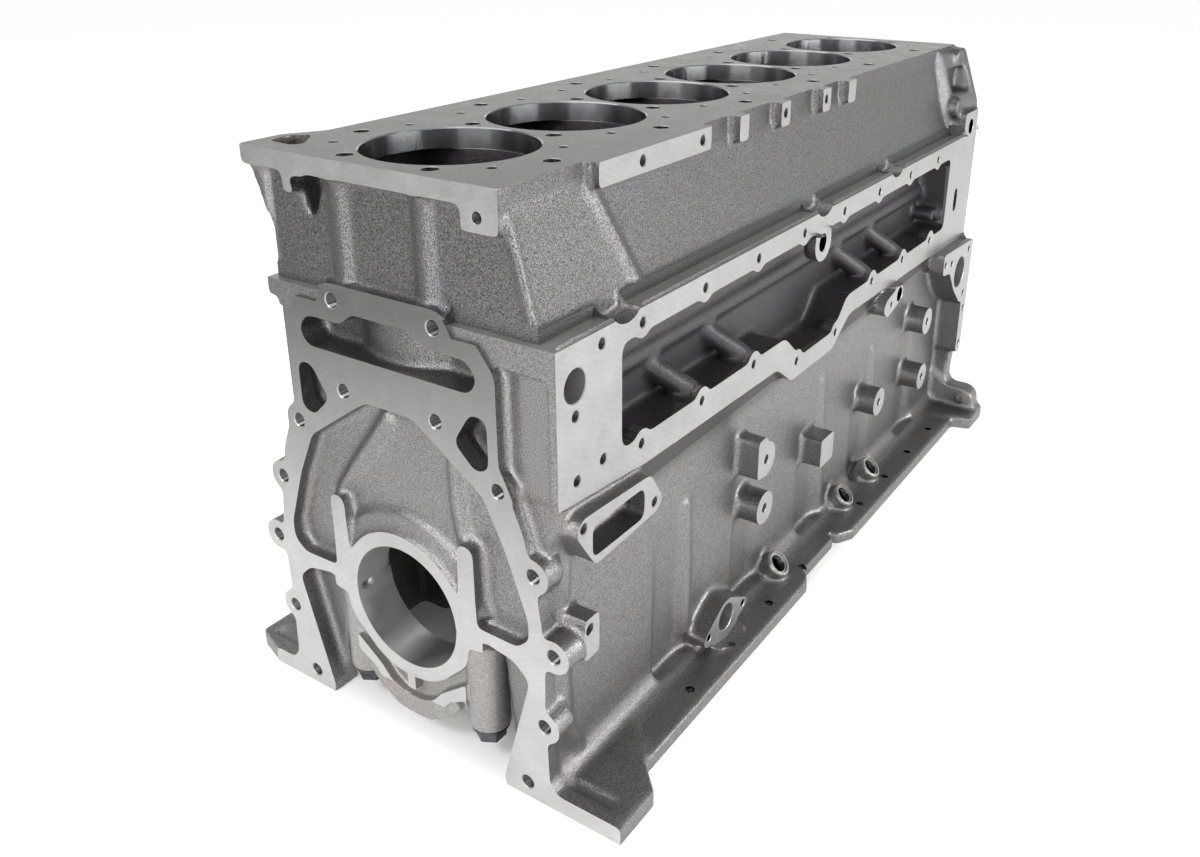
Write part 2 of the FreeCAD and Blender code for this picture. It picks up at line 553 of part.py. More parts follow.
def hole_cuts():
    """Every drilled hole: deck, front, cover face, rails, bosses and main bolts."""
    cuts = []
    deck = DECK_Z + 1
    bottom = DECK_Z - HEAD_BOLT_DEPTH
    for k in range(CYLINDERS + 1):
        x = FIRST_BORE_X + (k - 0.5) * BORE_PITCH
        x = max(END_BOLT_X, min(BLOCK_LENGTH - END_BOLT_X, x))
        for y in (-HEAD_BOLT_LAND_Y, HEAD_BOLT_LAND_Y):
            cuts.append(rod(HEAD_BOLT_R, (x, y, bottom), (x, y, deck)))
    for k in range(CYLINDERS):
        for y in (-HEAD_BOLT_SIDE_Y, HEAD_BOLT_SIDE_Y):
            cuts.append(rod(HEAD_BOLT_R, (bore_x(k), y, DECK_Z - DECK_THICKNESS + 3),
                            (bore_x(k), y, deck)))
            for dx in (-WATER_HOLE_X, WATER_HOLE_X):
                side_y = WATER_HOLE_Y if y > 0 else -WATER_HOLE_Y + 9
                cuts.append(rod(WATER_HOLE_R, (bore_x(k) + dx, side_y, DECK_Z - DECK_THICKNESS - 5),
                                (bore_x(k) + dx, side_y, deck)))
    for y, z in FRONT_HOLES + FRONT_INNER_HOLES:
        depth = FRONT_HOLE_DEPTH if (y, z) in FRONT_HOLES else FRONT_WALL - 14
        for side in (-1, 1):
            cuts.append(rod(FRONT_HOLE_R, (-1, side * y, z), (depth, side * y, z)))
    face = -COVER_Y - 1
    for i in range(COVER_HOLES):
        x = COVER_HOLE_X + i * COVER_HOLE_PITCH
        for z in (COVER_HOLE_TOP_Z, cover_low_z(x)):
            cuts.append(rod(COVER_HOLE_R, (x, face, z), (x, -COVER_Y + 14, z)))
    for x, z, radius in ((29, 270, 15.0), (29, 243, 5), (30, 183, 5), (67, 294, 5), (68, 187, 5)):
        cuts.append(rod(radius, (x, face, z), (x, -COVER_Y + 20, z)))
    cuts.append(rod(LUG_BORE_R, (LUG_X, face, LUG_Z), (LUG_X, -COVER_Y + 17, LUG_Z)))
    end_x = BLOCK_LENGTH - 67
    cuts.append(prism([(end_x - 7, 196, 7), (end_x + 7, 196, 7), (end_x + 7, 232, 7),
                       (end_x - 7, 232, 7)], "xz", face, -COVER_Y + 22))
    x = BLOCK_LENGTH - END_PAD_LENGTH / 2
    cuts.append(rod(11, (x, face, LEDGE_Z + 11), (x, -COVER_Y + 40, LEDGE_Z + 11)))
    for i in range(RAIL_HOLES):
        x = RAIL_HOLE_X + i * RAIL_HOLE_PITCH
        for y in (-RAIL_HOLE_Y, RAIL_HOLE_Y):
            cuts.append(rod(RAIL_HOLE_R, (x, y, PAN_Z - 1), (x, y, PAN_Z + RAIL_THICKNESS + 1)))
    for x, z, radius in ROUND_BOSSES:
        cuts.append(rod(BOSS_HOLE_R, (x, -BOSS_FACE_Y - 1, z), (x, -BOSS_FACE_Y + BOSS_HOLE_DEPTH, z)))
    x, z, width, height = TALL_BOSS
    cuts.append(rod(BOSS_HOLE_R, (x - 3, -BOSS_FACE_Y - 1, z + 9),
                    (x - 3, -BOSS_FACE_Y + BOSS_HOLE_DEPTH, z + 9)))
    for x0, x1 in (STRIP_X,):
        for x in (x0 + 68, x1 - 16):
            cuts.append(rod(5, (x, -STRIP_Y - 1, DECK_Z - 11), (x, -STRIP_Y + 22, DECK_Z - 11)))
    for x in (467, 573):
        cuts.append(rod(5, (x, -STRIP_Y - 1, DECK_Z - 12), (x, -STRIP_Y + 22, DECK_Z - 12)))
    for y in (-115, 93):
        cuts.append(rod(5, (-1, y, DECK_Z - 26), (FRONT_WALL_SETBACK + 3, y, DECK_Z - 26)))
    for x in PORT_X:
        cuts.append(rod(PORT_BORE_R, port_point(x, PORT_LENGTH - 3), port_point(x, -2)))
    inner = -WALL_Y + WALL_THICKNESS + 1
    cuts.append(prism([(38, 107, 6), (120, 107, 6), (120, 138, 6), (38, 138, 6)], "xz",
                      -BOSS_FACE_Y - 1, -BOSS_FACE_Y + 26))
    for x, z in ((26, 142), (138, 114)):
        cuts.append(rod(5, (x, -BOSS_FACE_Y - 1, z), (x, -BOSS_FACE_Y + 20, z)))
    cuts.append(rod(16, (300, -BOSS_FACE_Y, -114), (300, inner, -114)))
    for x in (262, 340):
        cuts.append(rod(4.5, (x, -BOSS_FACE_Y, -119), (x, -BOSS_FACE_Y + 22, -119)))
    cuts.append(rod(10, (762, -BOSS_FACE_Y - 1, 134), (762, -BOSS_FACE_Y + 24, 134)))
    cuts.append(rod(4, (733, -BOSS_FACE_Y - 1, 128), (733, -BOSS_FACE_Y + 18, 128)))
    face = -REAR_FLANGE_Y - 1
    x = BLOCK_LENGTH - 57
    cuts.append(rod(REAR_PORT_R, (x, face, 101), (x, -REAR_FLANGE_Y + 34, 101)))
    for dx, z in REAR_FLANGE_HOLES:
        x = BLOCK_LENGTH - dx
        cuts.append(rod(5, (x, face, z), (x, -REAR_FLANGE_Y + 20, z)))
    cuts.append(prism([(24, 149, 6), (49, 152, 6), (64, 137, 5), (33, 112, 5), (22, 116, 5)], "xy",
                      DECK_Z - LIP_HEIGHT - 16, DECK_Z + 1))
    return cuts


def cylinder_cuts():
    """Liner seats, barrels and the water jacket windows beside them."""
    cuts = []
    seat_z = DECK_Z - LINER_SEAT_DEPTH
    for k in range(CYLINDERS):
        x = bore_x(k)
        cuts.append(rod(LINER_SEAT_R, (x, 0, seat_z), (x, 0, DECK_Z + 1)))
        cuts.append(rod(BORE_R, (x, 0, LOWER_BORE_TOP_Z), (x, 0, seat_z + 1)))
        cuts.append(rod(LOWER_BORE_R, (x, 0, BAY_TOP_Z - 1), (x, 0, LOWER_BORE_TOP_Z + 1)))
        jacket = [(x - JACKET_HALF_X, -JACKET_HALF_Y, 24), (x + JACKET_HALF_X, -JACKET_HALF_Y, 24),
                  (x + JACKET_HALF_X, JACKET_HALF_Y, 24), (x - JACKET_HALF_X, JACKET_HALF_Y, 24)]
        cuts.append(prism(jacket, "xy", JACKET_BOTTOM_Z, DECK_Z - DECK_THICKNESS))
    return cuts


def main_bore():
    return rod(MAIN_R, (-1, 0, 0), (BLOCK_LENGTH + 1, 0, 0))


def main_bolt_holes():
    return [rod(BOLT_R + BOLT_CLEARANCE, (main_x(k), side * BOLT_Y, PAN_Z),
                (main_x(k), side * BOLT_Y, BOLT_ENGAGEMENT + 8))
            for k in range(CYLINDERS + 1) for side in (-1, 1)]


def rail_scallops():
    """The long notch in the edge of each pan rail."""
    x0, x1 = SCALLOP_X
    outline = [(x0 - 14, 6), (x0, -2, 14), (x0 + 22, -SCALLOP_DEPTH, 24),
               (x1 - 22, -SCALLOP_DEPTH, 24), (x1, -2, 14), (x1 + 14, 6)]
    return [prism([(x, side * (RAIL_Y + v), *rest) for x, v, *rest in outline], "xy",
                  PAN_Z - 1, PAN_Z + RAIL_THICKNESS + 1) for side in (-1, 1)]


def cylinder_block():
    solids = (crankcase() + jacket_walls() + cover_side() + rear_flare() + front_flange()
              + rear_flange() + feet())
    block = solids[0].fuse(solids[1:])
    block = block.cut(wall_panels()).fuse(wall_bosses())
    block = block.cut(bay_cuts() + cylinder_cuts() + foot_cuts() + ledge_scoops())
    block = block.fuse(bearing_saddles())
    block = block.cut(front_cuts() + [cap_notch(), main_bore(), gallery_cut()])
    block = block.fuse(gallery_inside())
    block = block.cut(hole_cuts() + main_bolt_holes() + rail_scallops())
    return block.removeSplitter()


def main_cap(index):
    """One bearing cap: a bridge with a bolt column at each end, flush with its saddle."""
    x0, x1 = main_x(index) - MAIN_WIDTH / 2, main_x(index) + MAIN_WIDTH / 2
    bridge_half = [(CAP_WIDTH / 2, 0), (CAP_WIDTH / 2, -REGISTER_DEPTH, 2),
                   (MAIN_RING_R + 1, -REGISTER_DEPTH - 2, 4), (MAIN_RING_R - 3, -36, 30),
                   (44, -66, 30), (14, CAP_BODY_Z + 12, 8), (6, CAP_BODY_Z, 5)]
    cap = prism(both(bridge_half), "yz", x0, x1)
    middle = main_x(index)
    pieces = []
    for side in (-1, 1):
        y = side * BOLT_Y
        pieces.append(rod(COLUMN_R, (middle, y, COLUMN_BOTTOM_Z),
                          (middle, y, -REGISTER_DEPTH - REGISTER_RELIEF)))
        pieces.append(box(x0 + 10, x1 - 8, side * 40, y, -100, -20))
    sling_half = [(72, -78), (50, -90, 14), (44, -108, 16), (22, SLING_BOTTOM_Z, 20)]
    inner_half = [(72, -78 + SLING_WIDTH), (40, -84, 14), (30, -96, 16),
                  (12, SLING_BOTTOM_Z + SLING_WIDTH, 14)]
    outer = [(-y, *rest) for y, *rest in sling_half] + list(reversed(sling_half))
    inner = [(y, *rest) for y, *rest in inner_half] + [(-y, *rest) for y, *rest in reversed(inner_half)]
    pieces.append(prism(outer + inner, "yz", x0, x0 + SLING_THICKNESS))
    pieces.append(box(x0 + 10, x1 - 8, -60, 60, -104, -72))
    cap = cap.fuse(pieces)
    bolt_holes = [rod(BOLT_R + BOLT_CLEARANCE, (middle, side * BOLT_Y, PAN_Z),
                      (middle, side * BOLT_Y, 1)) for side in (-1, 1)]
    bolt_holes.append(box(x0 + 7, x0 + 7 + TANG_LENGTH, MAIN_R - 6, MAIN_R + TANG_DEPTH, -TANG_HEIGHT, 1))
    bore = rod(MAIN_R, (x0 - 1, 0, 0), (x1 + 1, 0, 0))
    above = box(x0 - 5, x1 + 5, -150, 150, 0, 60)
    return cap.cut([bore, above] + bolt_holes).removeSplitter()


def bolt(x, y):
    """A main bolt: a hexagon head, and a shank up into the saddle."""
    seat_z = COLUMN_BOTTOM_Z - WASHER_THICKNESS
    corners = [V(x + BOLT_HEAD_R * cos(i * pi / 3), y + BOLT_HEAD_R * sin(i * pi / 3),
                 seat_z - BOLT_HEAD_HEIGHT) for i in range(6)]
    head = Part.Face(Part.makePolygon(corners + corners[:1])).extrude(V(0, 0, BOLT_HEAD_HEIGHT))
    shank = rod(BOLT_R, (x, y, seat_z - 1), (x, y, BOLT_ENGAGEMENT))
    return head.fuse(shank).removeSplitter()


def washer(x, y):
    seat_z = COLUMN_BOTTOM_Z - WASHER_THICKNESS
    ring = rod(WASHER_R, (x, y, seat_z), (x, y, COLUMN_BOTTOM_Z))
    return ring.cut(rod(BOLT_R + BOLT_CLEARANCE, (x, y, seat_z - 1), (x, y, COLUMN_BOTTOM_Z + 1)))


def save(name, shape):
    shape.exportStep(os.path.join(PARTS, name + ".step"))
    print(name, "solids", len(shape.Solids), "valid", shape.isValid(), "litres",
          round(shape.Volume / 1e6, 3))


def main():
    os.makedirs(PARTS, exist_ok=True)
    save("cylinder_block", cylinder_block())
    for k in range(CYLINDERS + 1):
        name = "main_cap_%d" % (k + 1)
        save(name, main_cap(k))
        save(name + "_bolts", Part.makeCompound([bolt(main_x(k), s * BOLT_Y) for s in (-1, 1)]))
        save(name + "_washers", Part.makeCompound([washer(main_x(k), s * BOLT_Y) for s in (-1, 1)]))


main()
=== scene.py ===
# %% [markdown]
# # A cylinder block: cast first, then machined
#
# The real block starts as one rough iron casting with soft corners. A mill then cuts
# its flat faces, and drills and boring bars cut its holes. This lesson makes the looks
# in the same order: a soft casting, then crisp cuts. The CAD model is the fixed frame,
# and faces and holes are found in it by measuring. The levels of the milled faces, the
# soft forms and the boxes of some finishes are listed here.

# %% Load the frame
import json
import math
import time

import bmesh
import bpy
import numpy as np
from mathutils import Matrix, Vector


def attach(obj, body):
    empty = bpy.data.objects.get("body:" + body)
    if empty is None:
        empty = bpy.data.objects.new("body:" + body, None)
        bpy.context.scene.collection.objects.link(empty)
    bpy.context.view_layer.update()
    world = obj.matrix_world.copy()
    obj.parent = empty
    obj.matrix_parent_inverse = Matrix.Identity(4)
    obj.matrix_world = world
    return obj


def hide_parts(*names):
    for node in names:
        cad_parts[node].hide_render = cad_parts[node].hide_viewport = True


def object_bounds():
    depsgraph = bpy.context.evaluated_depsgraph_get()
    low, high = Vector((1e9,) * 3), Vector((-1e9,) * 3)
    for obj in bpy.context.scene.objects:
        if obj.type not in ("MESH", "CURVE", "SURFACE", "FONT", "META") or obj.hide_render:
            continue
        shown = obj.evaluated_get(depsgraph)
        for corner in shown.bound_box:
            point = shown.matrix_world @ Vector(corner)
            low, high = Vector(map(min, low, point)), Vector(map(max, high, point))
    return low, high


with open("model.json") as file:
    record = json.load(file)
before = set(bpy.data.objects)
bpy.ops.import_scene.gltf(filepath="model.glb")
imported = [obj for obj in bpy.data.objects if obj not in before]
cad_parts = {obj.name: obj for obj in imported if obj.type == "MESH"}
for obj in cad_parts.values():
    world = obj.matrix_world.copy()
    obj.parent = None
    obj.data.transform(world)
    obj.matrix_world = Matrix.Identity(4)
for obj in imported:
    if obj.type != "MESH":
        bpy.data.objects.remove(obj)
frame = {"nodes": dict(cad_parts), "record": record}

MM = 0.001
bpy.context.scene.view_settings.view_transform = "Standard"
cad_low, cad_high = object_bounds()
cad_size = cad_high - cad_low
print("CAD box in mm:", [round(v / MM, 1) for v in cad_size])

# %% [markdown]
# ## Reading the frame
#
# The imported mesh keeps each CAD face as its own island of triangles. An island whose
# triangles all point one way is a flat face, and an island that bends round one axis
# and faces inwards is a drilled hole. A hole that moves in the CAD model is found in its
# new place. A milled face that moves needs its level changed in the list below.

# %% Split a mesh into its CAD faces
class Island:
    """One CAD face: its corner points, its triangles, their normals and areas."""

    def __init__(self, points, triangles):
        used, local = np.unique(triangles, return_inverse=True)
        self.points = points[used]
        self.triangles = local.reshape(-1, 3)
        a, b, c = (self.points[self.triangles[:, i]] for i in range(3))
        cross = np.cross(b - a, c - a)
        length = np.linalg.norm(cross, axis=1)
        self.areas = length / 2
        self.normals = cross / np.maximum(length, 1e-12)[:, None]
        self.centres = (a + b + c) / 3


def mesh_arrays(mesh):
    """The corner points and the triangles of a mesh, as two arrays."""
    points = np.zeros(len(mesh.vertices) * 3, np.float32)
    mesh.vertices.foreach_get("co", points)
    triangles = np.zeros(len(mesh.polygons) * 3, np.int32)
    mesh.polygons.foreach_get("vertices", triangles)
    return points.reshape(-1, 3).astype(float), triangles.reshape(-1, 3)


def islands(mesh):
    """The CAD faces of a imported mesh: triangles that share corner points."""
    points, triangles = mesh_arrays(mesh)
    label = np.arange(len(points))
    while True:
        least = label[triangles].min(axis=1)
        renewed = label.copy()
        np.minimum.at(renewed, triangles.ravel(), np.repeat(least, 3))
        renewed = renewed[renewed]
        if (renewed == label).all():
            break
        label = renewed
    owner = label[triangles[:, 0]]
    order = np.argsort(owner, kind="stable")
    cuts = np.flatnonzero(np.diff(owner[order])) + 1
    return [Island(points, triangles[group]) for group in np.split(order, cuts)]


block_islands = islands(frame["nodes"]["cylinder_block"].data)
print("faces on the block:", len(block_islands))

# %% Find the round holes
FULL_TURN_GAP = 0.6      # the widest gap in radians between corner points of a full circle
ROUND_ERROR = 0.05 * MM
STRAIGHT = 1e-5          # how far the normals of a straight hollow may lean along its axis
LEAST_BEND = 0.02        # normals that spread less than this belong to a flat face


def hollow_round(island):
    """(one end, other end, radius, gap in its turn) if the island is part of a hollow cylinder."""
    if len(island.triangles) < 8:
        return None
    weights = island.areas / island.areas.sum()
    spread = (island.normals * weights[:, None]).T @ island.normals
    values, vectors = np.linalg.eigh(spread)
    if values[0] > STRAIGHT or values[1] < LEAST_BEND:
        return None
    axis, u, v = vectors.T
    pu, pv, pa = island.points @ u, island.points @ v, island.points @ axis
    matrix = np.c_[2 * pu, 2 * pv, np.ones(len(pu))]
    cu, cv, rest = np.linalg.lstsq(matrix, pu ** 2 + pv ** 2, rcond=None)[0]
    radius = math.sqrt(rest + cu ** 2 + cv ** 2)
    if np.abs(np.hypot(pu - cu, pv - cv) - radius).max() > ROUND_ERROR:
        return None
    outward = (island.centres @ u - cu) * (island.normals @ u)
    outward += (island.centres @ v - cv) * (island.normals @ v)
    angles = np.sort(np.arctan2(pv - cv, pu - cu))
    gap = np.diff(np.r_[angles, angles[0] + 2 * math.pi]).max()
    if outward.mean() > 0:
        return None
    centre = cu * u + cv * v
    return centre + pa.min() * axis, centre + pa.max() * axis, radius, gap


def round_holes(some_islands):
    """Every hole of a full turn, as (one end, other end, radius)."""
    found = [h for h in map(hollow_round, some_islands) if h]
    return [h[:3] for h in found if h[3] < FULL_TURN_GAP]


def scoops(some_islands, radius):
    """The part-turn hollows of one radius that lie across the block."""
    found = [h for h in map(hollow_round, some_islands) if h]
    part_turn = [h[:3] for h in found if h[3] > FULL_TURN_GAP and abs(h[2] - radius) < 0.1 * MM]
    return [h for h in part_turn if abs((h[1] - h[0])[1]) > 5 * MM]


block_holes = round_holes(block_islands)
LEDGE_SCOOP = 30 * MM
ledge_scoops = scoops(block_islands, LEDGE_SCOOP)
print("round holes:", len(block_holes), "scoops in the ledge:", len(ledge_scoops))

# %% Find the machined faces
LEVEL_ERROR = 0.02 * MM
BLOCK_LEVELS = {          # outward direction: levels in mm of the faces that a mill has cut
    (0, 0, 1): [430.0, 307.0],
    (0, 0, -1): [155.0, 0.0],
    (-1, 0, 0): [0.0],
    (1, 0, 0): [1060.0],
    (0, -1, 0): [186.0, 195.0, 191.0, 203.0, 150.0],
}


def machined(island, levels):
    """(outward direction, level) if the island is one of the milled flat faces."""
    direction = island.normals[0]
    if np.abs(island.normals - direction).max() > 1e-3:
        return None
    for out, heights in levels.items():
        if direction @ out < 0.9999:
            continue
        level = float(island.points[0] @ out)
        if any(abs(level - wanted * MM) < LEVEL_ERROR for wanted in heights):
            return np.array(out, float), level
    return None


def milled_faces(some_islands, levels):
    return [(island, *machined(island, levels)) for island in some_islands if machined(island, levels)]


block_milled = milled_faces(block_islands, BLOCK_LEVELS)
print("milled faces:", len(block_milled))

# %% [markdown]
# ## The rough casting
#
# A foundry leaves some spare metal on each face that will be milled, and casts no
# small holes at all. So the casting here is the CAD block with a slab on each milled
# face and a plug in each hole. A voxel remesh turns that heap into one skin, and
# smoothing rounds it: sharp corners become cast corners, and inner corners fill like
# the fillets that a pattern maker adds.

# %% Helpers that make and change objects
SHORTEST_SUM = 0.8       # the least length by which a rim corner's shift is divided


def new_object(name, points, faces):
    mesh = bpy.data.meshes.new(name)
    mesh.from_pydata([tuple(p) for p in points], [], [tuple(f) for f in faces])
    piece = bpy.data.objects.new(name, mesh)
    bpy.context.scene.collection.objects.link(piece)
    return piece


def bake(piece):
    """Applies a piece's modifiers by swapping its mesh for the evaluated one."""
    graph = bpy.context.evaluated_depsgraph_get()
    baked = bpy.data.meshes.new_from_object(piece.evaluated_get(graph))
    old = piece.data
    piece.modifiers.clear()
    piece.data = baked
    bpy.data.meshes.remove(old)
    return piece


def drop(piece):
    mesh = piece.data
    bpy.data.objects.remove(piece)
    bpy.data.meshes.remove(mesh)


def patch_prism(island, out, low, high, grow):
    """A flat face drawn out along its direction, with its edges moved outwards by grow."""
    points, triangles = island.points.copy(), island.triangles
    sides = np.vstack([triangles[:, [0, 1]], triangles[:, [1, 2]], triangles[:, [2, 0]]])
    key = np.sort(sides, axis=1)
    _, first, count = np.unique(key, axis=0, return_index=True, return_counts=True)
    rim = sides[first[count == 1]]
    if grow:
        shift = np.zeros_like(points)
        along = points[rim[:, 1]] - points[rim[:, 0]]
        along /= np.maximum(np.linalg.norm(along, axis=1), 1e-12)[:, None]
        away = np.cross(along, out)
        np.add.at(shift, rim[:, 0], away)
        np.add.at(shift, rim[:, 1], away)
        length = np.linalg.norm(shift, axis=1)
        moved = length > 1e-9
        shift[moved] /= np.maximum(length[moved], SHORTEST_SUM)[:, None]
        points += shift * grow
    n = len(points)
    both = np.vstack([points + out * low, points + out * high])
    faces = [t[::-1] for t in triangles] + [t + n for t in triangles]
    faces += [(a, b, b + n, a + n) for a, b in rim]
    return both, faces


def lathe(start, end, profile, segments):
    """A closed turned solid: profile lists (distance along the axis, radius)."""
    axis = np.asarray(end, float) - np.asarray(start, float)
    axis /= np.linalg.norm(axis)
    side = np.cross(axis, (0, 0, 1) if abs(axis[2]) < 0.9 else (1, 0, 0))
    side /= np.linalg.norm(side)
    up = np.cross(axis, side)
    points, faces = [], []
    for along, radius in profile:
        for i in range(segments):
            turn = 2 * math.pi * i / segments
            points.append(start + axis * along + radius * (math.cos(turn) * side + math.sin(turn) * up))
    for ring in range(len(profile) - 1):
        for i in range(segments):
            j = (i + 1) % segments
            a, b = ring * segments, (ring + 1) * segments
            faces.append((a + i, a + j, b + j, b + i))
    faces.append(tuple(range(segments - 1, -1, -1)))
    faces.append(tuple(range(len(points) - segments, len(points))))
    return np.array(points), faces


def plate(outline, x0, x1):
    """A flat piece across the block: outline lists (y, z) in mm, from x0 to x1 in mm."""
    n = len(outline)
    points = np.array([(x, y, z) for x in (x0, x1) for y, z in outline]) * MM
    turn = sum(a[0] * b[1] - b[0] * a[1] for a, b in zip(outline, outline[1:] + outline[:1]))
    faces = [tuple(range(n))[::-1], tuple(range(n, 2 * n))]
    faces += [(i, (i + 1) % n, (i + 1) % n + n, i + n) for i in range(n)]
    if turn < 0:
        faces = [f[::-1] for f in faces]
    return points, faces


def arc(centre, radius, start, stop, steps):
    """Points on a round stretch in the (y, z) plane, angles in degrees."""
    angles = np.radians(np.linspace(start, stop, steps))
    return [(centre[0] + radius * math.cos(a), centre[1] + radius * math.sin(a)) for a in angles]


def bead(start, end, radius):
    """A soft ridge: a bar between two points in mm, to be sunk in a wall."""
    start, end = np.array(start) * MM, np.array(end) * MM
    return lathe(start, end, [(0, radius * MM), (np.linalg.norm(end - start), radius * MM)], 16)


def chain(spots, radius):
    """Beads from each (x, y, z) in mm to the next."""
    return [bead(a, b, radius) for a, b in zip(spots, spots[1:])]


def heap(name, parts):
    """One object from many (points, faces) pairs."""
    points, faces, offset = [], [], 0
    for some_points, some_faces in parts:
        points.extend(some_points)
        faces.extend(tuple(i + offset for i in f) for f in some_faces)
        offset += len(some_points)
    return new_object(name, points, faces)


# %% Cast a piece
SPARE_METAL = 10 * MM
SUNK = 1.5 * MM          # how far spare metal goes into the piece, and a plug out of its hole
PLUG_EXTRA = 0.6 * MM    # how much larger a plug's radius is than its hole's
BIG_BORE = 60 * MM
started = time.time()


def cast(name, milled, holes, forms, grain, rounding, most_triangles):
    """A soft skin over the CAD piece, its soft forms, spare metal and plugged holes."""
    parts = [mesh_arrays(frame["nodes"][name].data)] + forms
    parts += [patch_prism(island, out, -SUNK, SPARE_METAL, 0) for island, out, level in milled]
    for one, other, radius in holes:
        if radius < BIG_BORE:
            reach = np.linalg.norm(other - one)
            wide = radius + PLUG_EXTRA
            parts.append(lathe(one, other, [(-SUNK, wide), (reach + SUNK, wide)], 16))
    piece = heap(name + "_casting", parts)
    remesh = piece.modifiers.new("grain", "REMESH")
    remesh.mode = "VOXEL"
    remesh.voxel_size = grain
    bake(piece)
    skin = len(piece.data.polygons)
    soften = piece.modifiers.new("soft_corners", "SMOOTH")
    soften.factor = 0.5
    soften.iterations = rounding
    thin = piece.modifiers.new("thin_out", "DECIMATE")
    thin.ratio = min(1.0, most_triangles / (2 * skin))
    bake(piece)
    print(name, "skin:", skin, "faces, casting:", len(piece.data.polygons), "faces,",
          round(time.time() - started, 1), "s")
    return piece


# %% Soft forms of the front pocket and the walls
POCKET_BACK = 22         # the plates in the pocket reach back to here, in mm like all below
PANEL_FRONT = 12
COLLAR = ((83, 2.5), (88, 4), (100, 5.5))      # radius and front of each step of the collar
RIDGE_PLACE = 13
RIDGES = (((88, 93), (58, 136), (31, 171), (11, 198)), ((-73, 89), (-66, 130), (-65, 181), (-46, 201)))
FRAME_PLACE = -159
FRAME_RIDGE = ((34, 92), (30, 40), (31, -30), (34, -88), (54, -128))
WALL_PLACE = -157
WALL_RIDGES = (((246, 54), (252, -114)), ((583, 70), (603, -138)), ((755, 55), (763, -30)))
UPPER_BEADS = (((120, -134.5, 402), (158, -158.5, 312), 9), ((11, -136.5, 405), (11, -162, 310), 4))
panel = list(RIDGES[0]) + list(RIDGES[1])[::-1] + [(-73, 60), (88, 60)]
forms = [plate(panel, PANEL_FRONT, POCKET_BACK)]
forms += [plate(arc((0, 0), radius, 12, 168, 40), step, POCKET_BACK) for radius, step in COLLAR]
for line in RIDGES:
    forms += chain([(RIDGE_PLACE, y, z) for y, z in line], 7)
forms += chain([(x, FRAME_PLACE, z) for x, z in FRAME_RIDGE], 12)
for line in WALL_RIDGES:
    forms += chain([(x, WALL_PLACE, z) for x, z in line], 14)
forms += [bead(*each) for each in UPPER_BEADS]
casting = cast("cylinder_block", block_milled, block_holes, forms,
               grain=3.0 * MM, rounding=9, most_triangles=135000)

# %% [markdown]
# ## The machining
#
# Each milled face is cut back to its level with a cutter a little wider than the face.
# Then the big bores are bored and the small holes drilled, with the small chamfer that
# a countersink leaves where a hole opens in a milled face. A threaded hole gets the
# rings of its thread, which show as fine bright lines inside it.

# %% Helpers that mill and drill
CHAMFER = 0.9 * MM
BORE_CHAMFER = 1.2 * MM
CAP_CHAMFER = 0.5 * MM
MILL_OVERLAP = 2.5 * MM    # how far a cutter reaches past the edge of its face
TIGHT_OVERLAP = 0.5 * MM   # the same for a face that a wall stands close to
CUTTER_HEIGHT = 16 * MM
SLAB_MARGIN = 40 * MM      # how far the slab for an outermost face reaches past the casting
DRILL_LEAD = 8 * MM        # how far a drill stands out of its hole
OVERRUN = 10 * MM          # how far the line bar stands out at each end
THREAD_TURNS = 12
THREAD_DEPTH = 0.5         # of the pitch
BREAKTHROUGH = 4 * MM      # how far a drill runs past the end of a through hole
PITCH = {4.8: 1.5, 5.0: 1.5, 5.5: 1.75, 7.0: 2.0, 8.0: 2.0}    # hole radius in mm: thread pitch in mm


def cut(piece, name, parts):
    """Takes the cutters away from the piece with one fast boolean."""
    cutter = heap(name, parts)
    boolean = piece.modifiers.new(name, "BOOLEAN")
    boolean.operation = "DIFFERENCE"
    boolean.solver = "MANIFOLD"
    boolean.object = cutter
    bake(piece)
    drop(cutter)
    print(name + ":", len(piece.data.polygons), "faces,", round(time.time() - started, 1), "s")


def beyond(out, level, low_corner, high_corner):
    """A slab of everything past a level that is the outermost face in its direction."""
    low_corner = np.array(low_corner) - SLAB_MARGIN
    high_corner = np.array(high_corner) + SLAB_MARGIN
    axis = int(np.argmax(np.abs(out)))
    if out[axis] > 0:
        low_corner[axis] = level
    else:
        high_corner[axis] = -level
    points = [(x, y, z) for x in (low_corner[0], high_corner[0]) for y in (low_corner[1], high_corner[1])
              for z in (low_corner[2], high_corner[2])]
    faces = [(0, 1, 3, 2), (4, 6, 7, 5), (0, 4, 5, 1), (2, 3, 7, 6), (0, 2, 6, 4), (1, 5, 7, 3)]
    return np.array(points), faces


def mill(piece, milled, levels, tight=()):
    """Cuts each face back: an outermost level with one slab, the others face by face."""
    corners = np.array([v.co for v in piece.data.vertices])
    low_corner, high_corner = corners.min(axis=0), corners.max(axis=0)
    everything = np.vstack([island.points for island, out, level in milled])
    for direction in levels:
        faces_here = [m for m in milled if np.allclose(m[1], direction)]
        out = np.array(direction, float)
        top = max(level for island, way, level in faces_here)
        outermost = top > (cad_reach(out) if piece is casting else (everything @ out).max()) - LEVEL_ERROR
        if outermost:
            cut(piece, "face_%d%d%d" % direction, [beyond(out, top, low_corner, high_corner)])
            faces_here = [m for m in faces_here if m[2] < top - LEVEL_ERROR]
        if faces_here:
            cutters = []
            for island, way, level in faces_here:
                overlap = TIGHT_OVERLAP if round(level / MM, 1) in tight else MILL_OVERLAP
                cutters.append(patch_prism(island, way, 0, CUTTER_HEIGHT, overlap))
            cut(piece, "mill_%d%d%d" % direction, cutters)


def cad_reach(out):
    """How far the block's CAD mesh reaches in a direction."""
    return max(float((island.points @ out).max()) for island in block_islands)


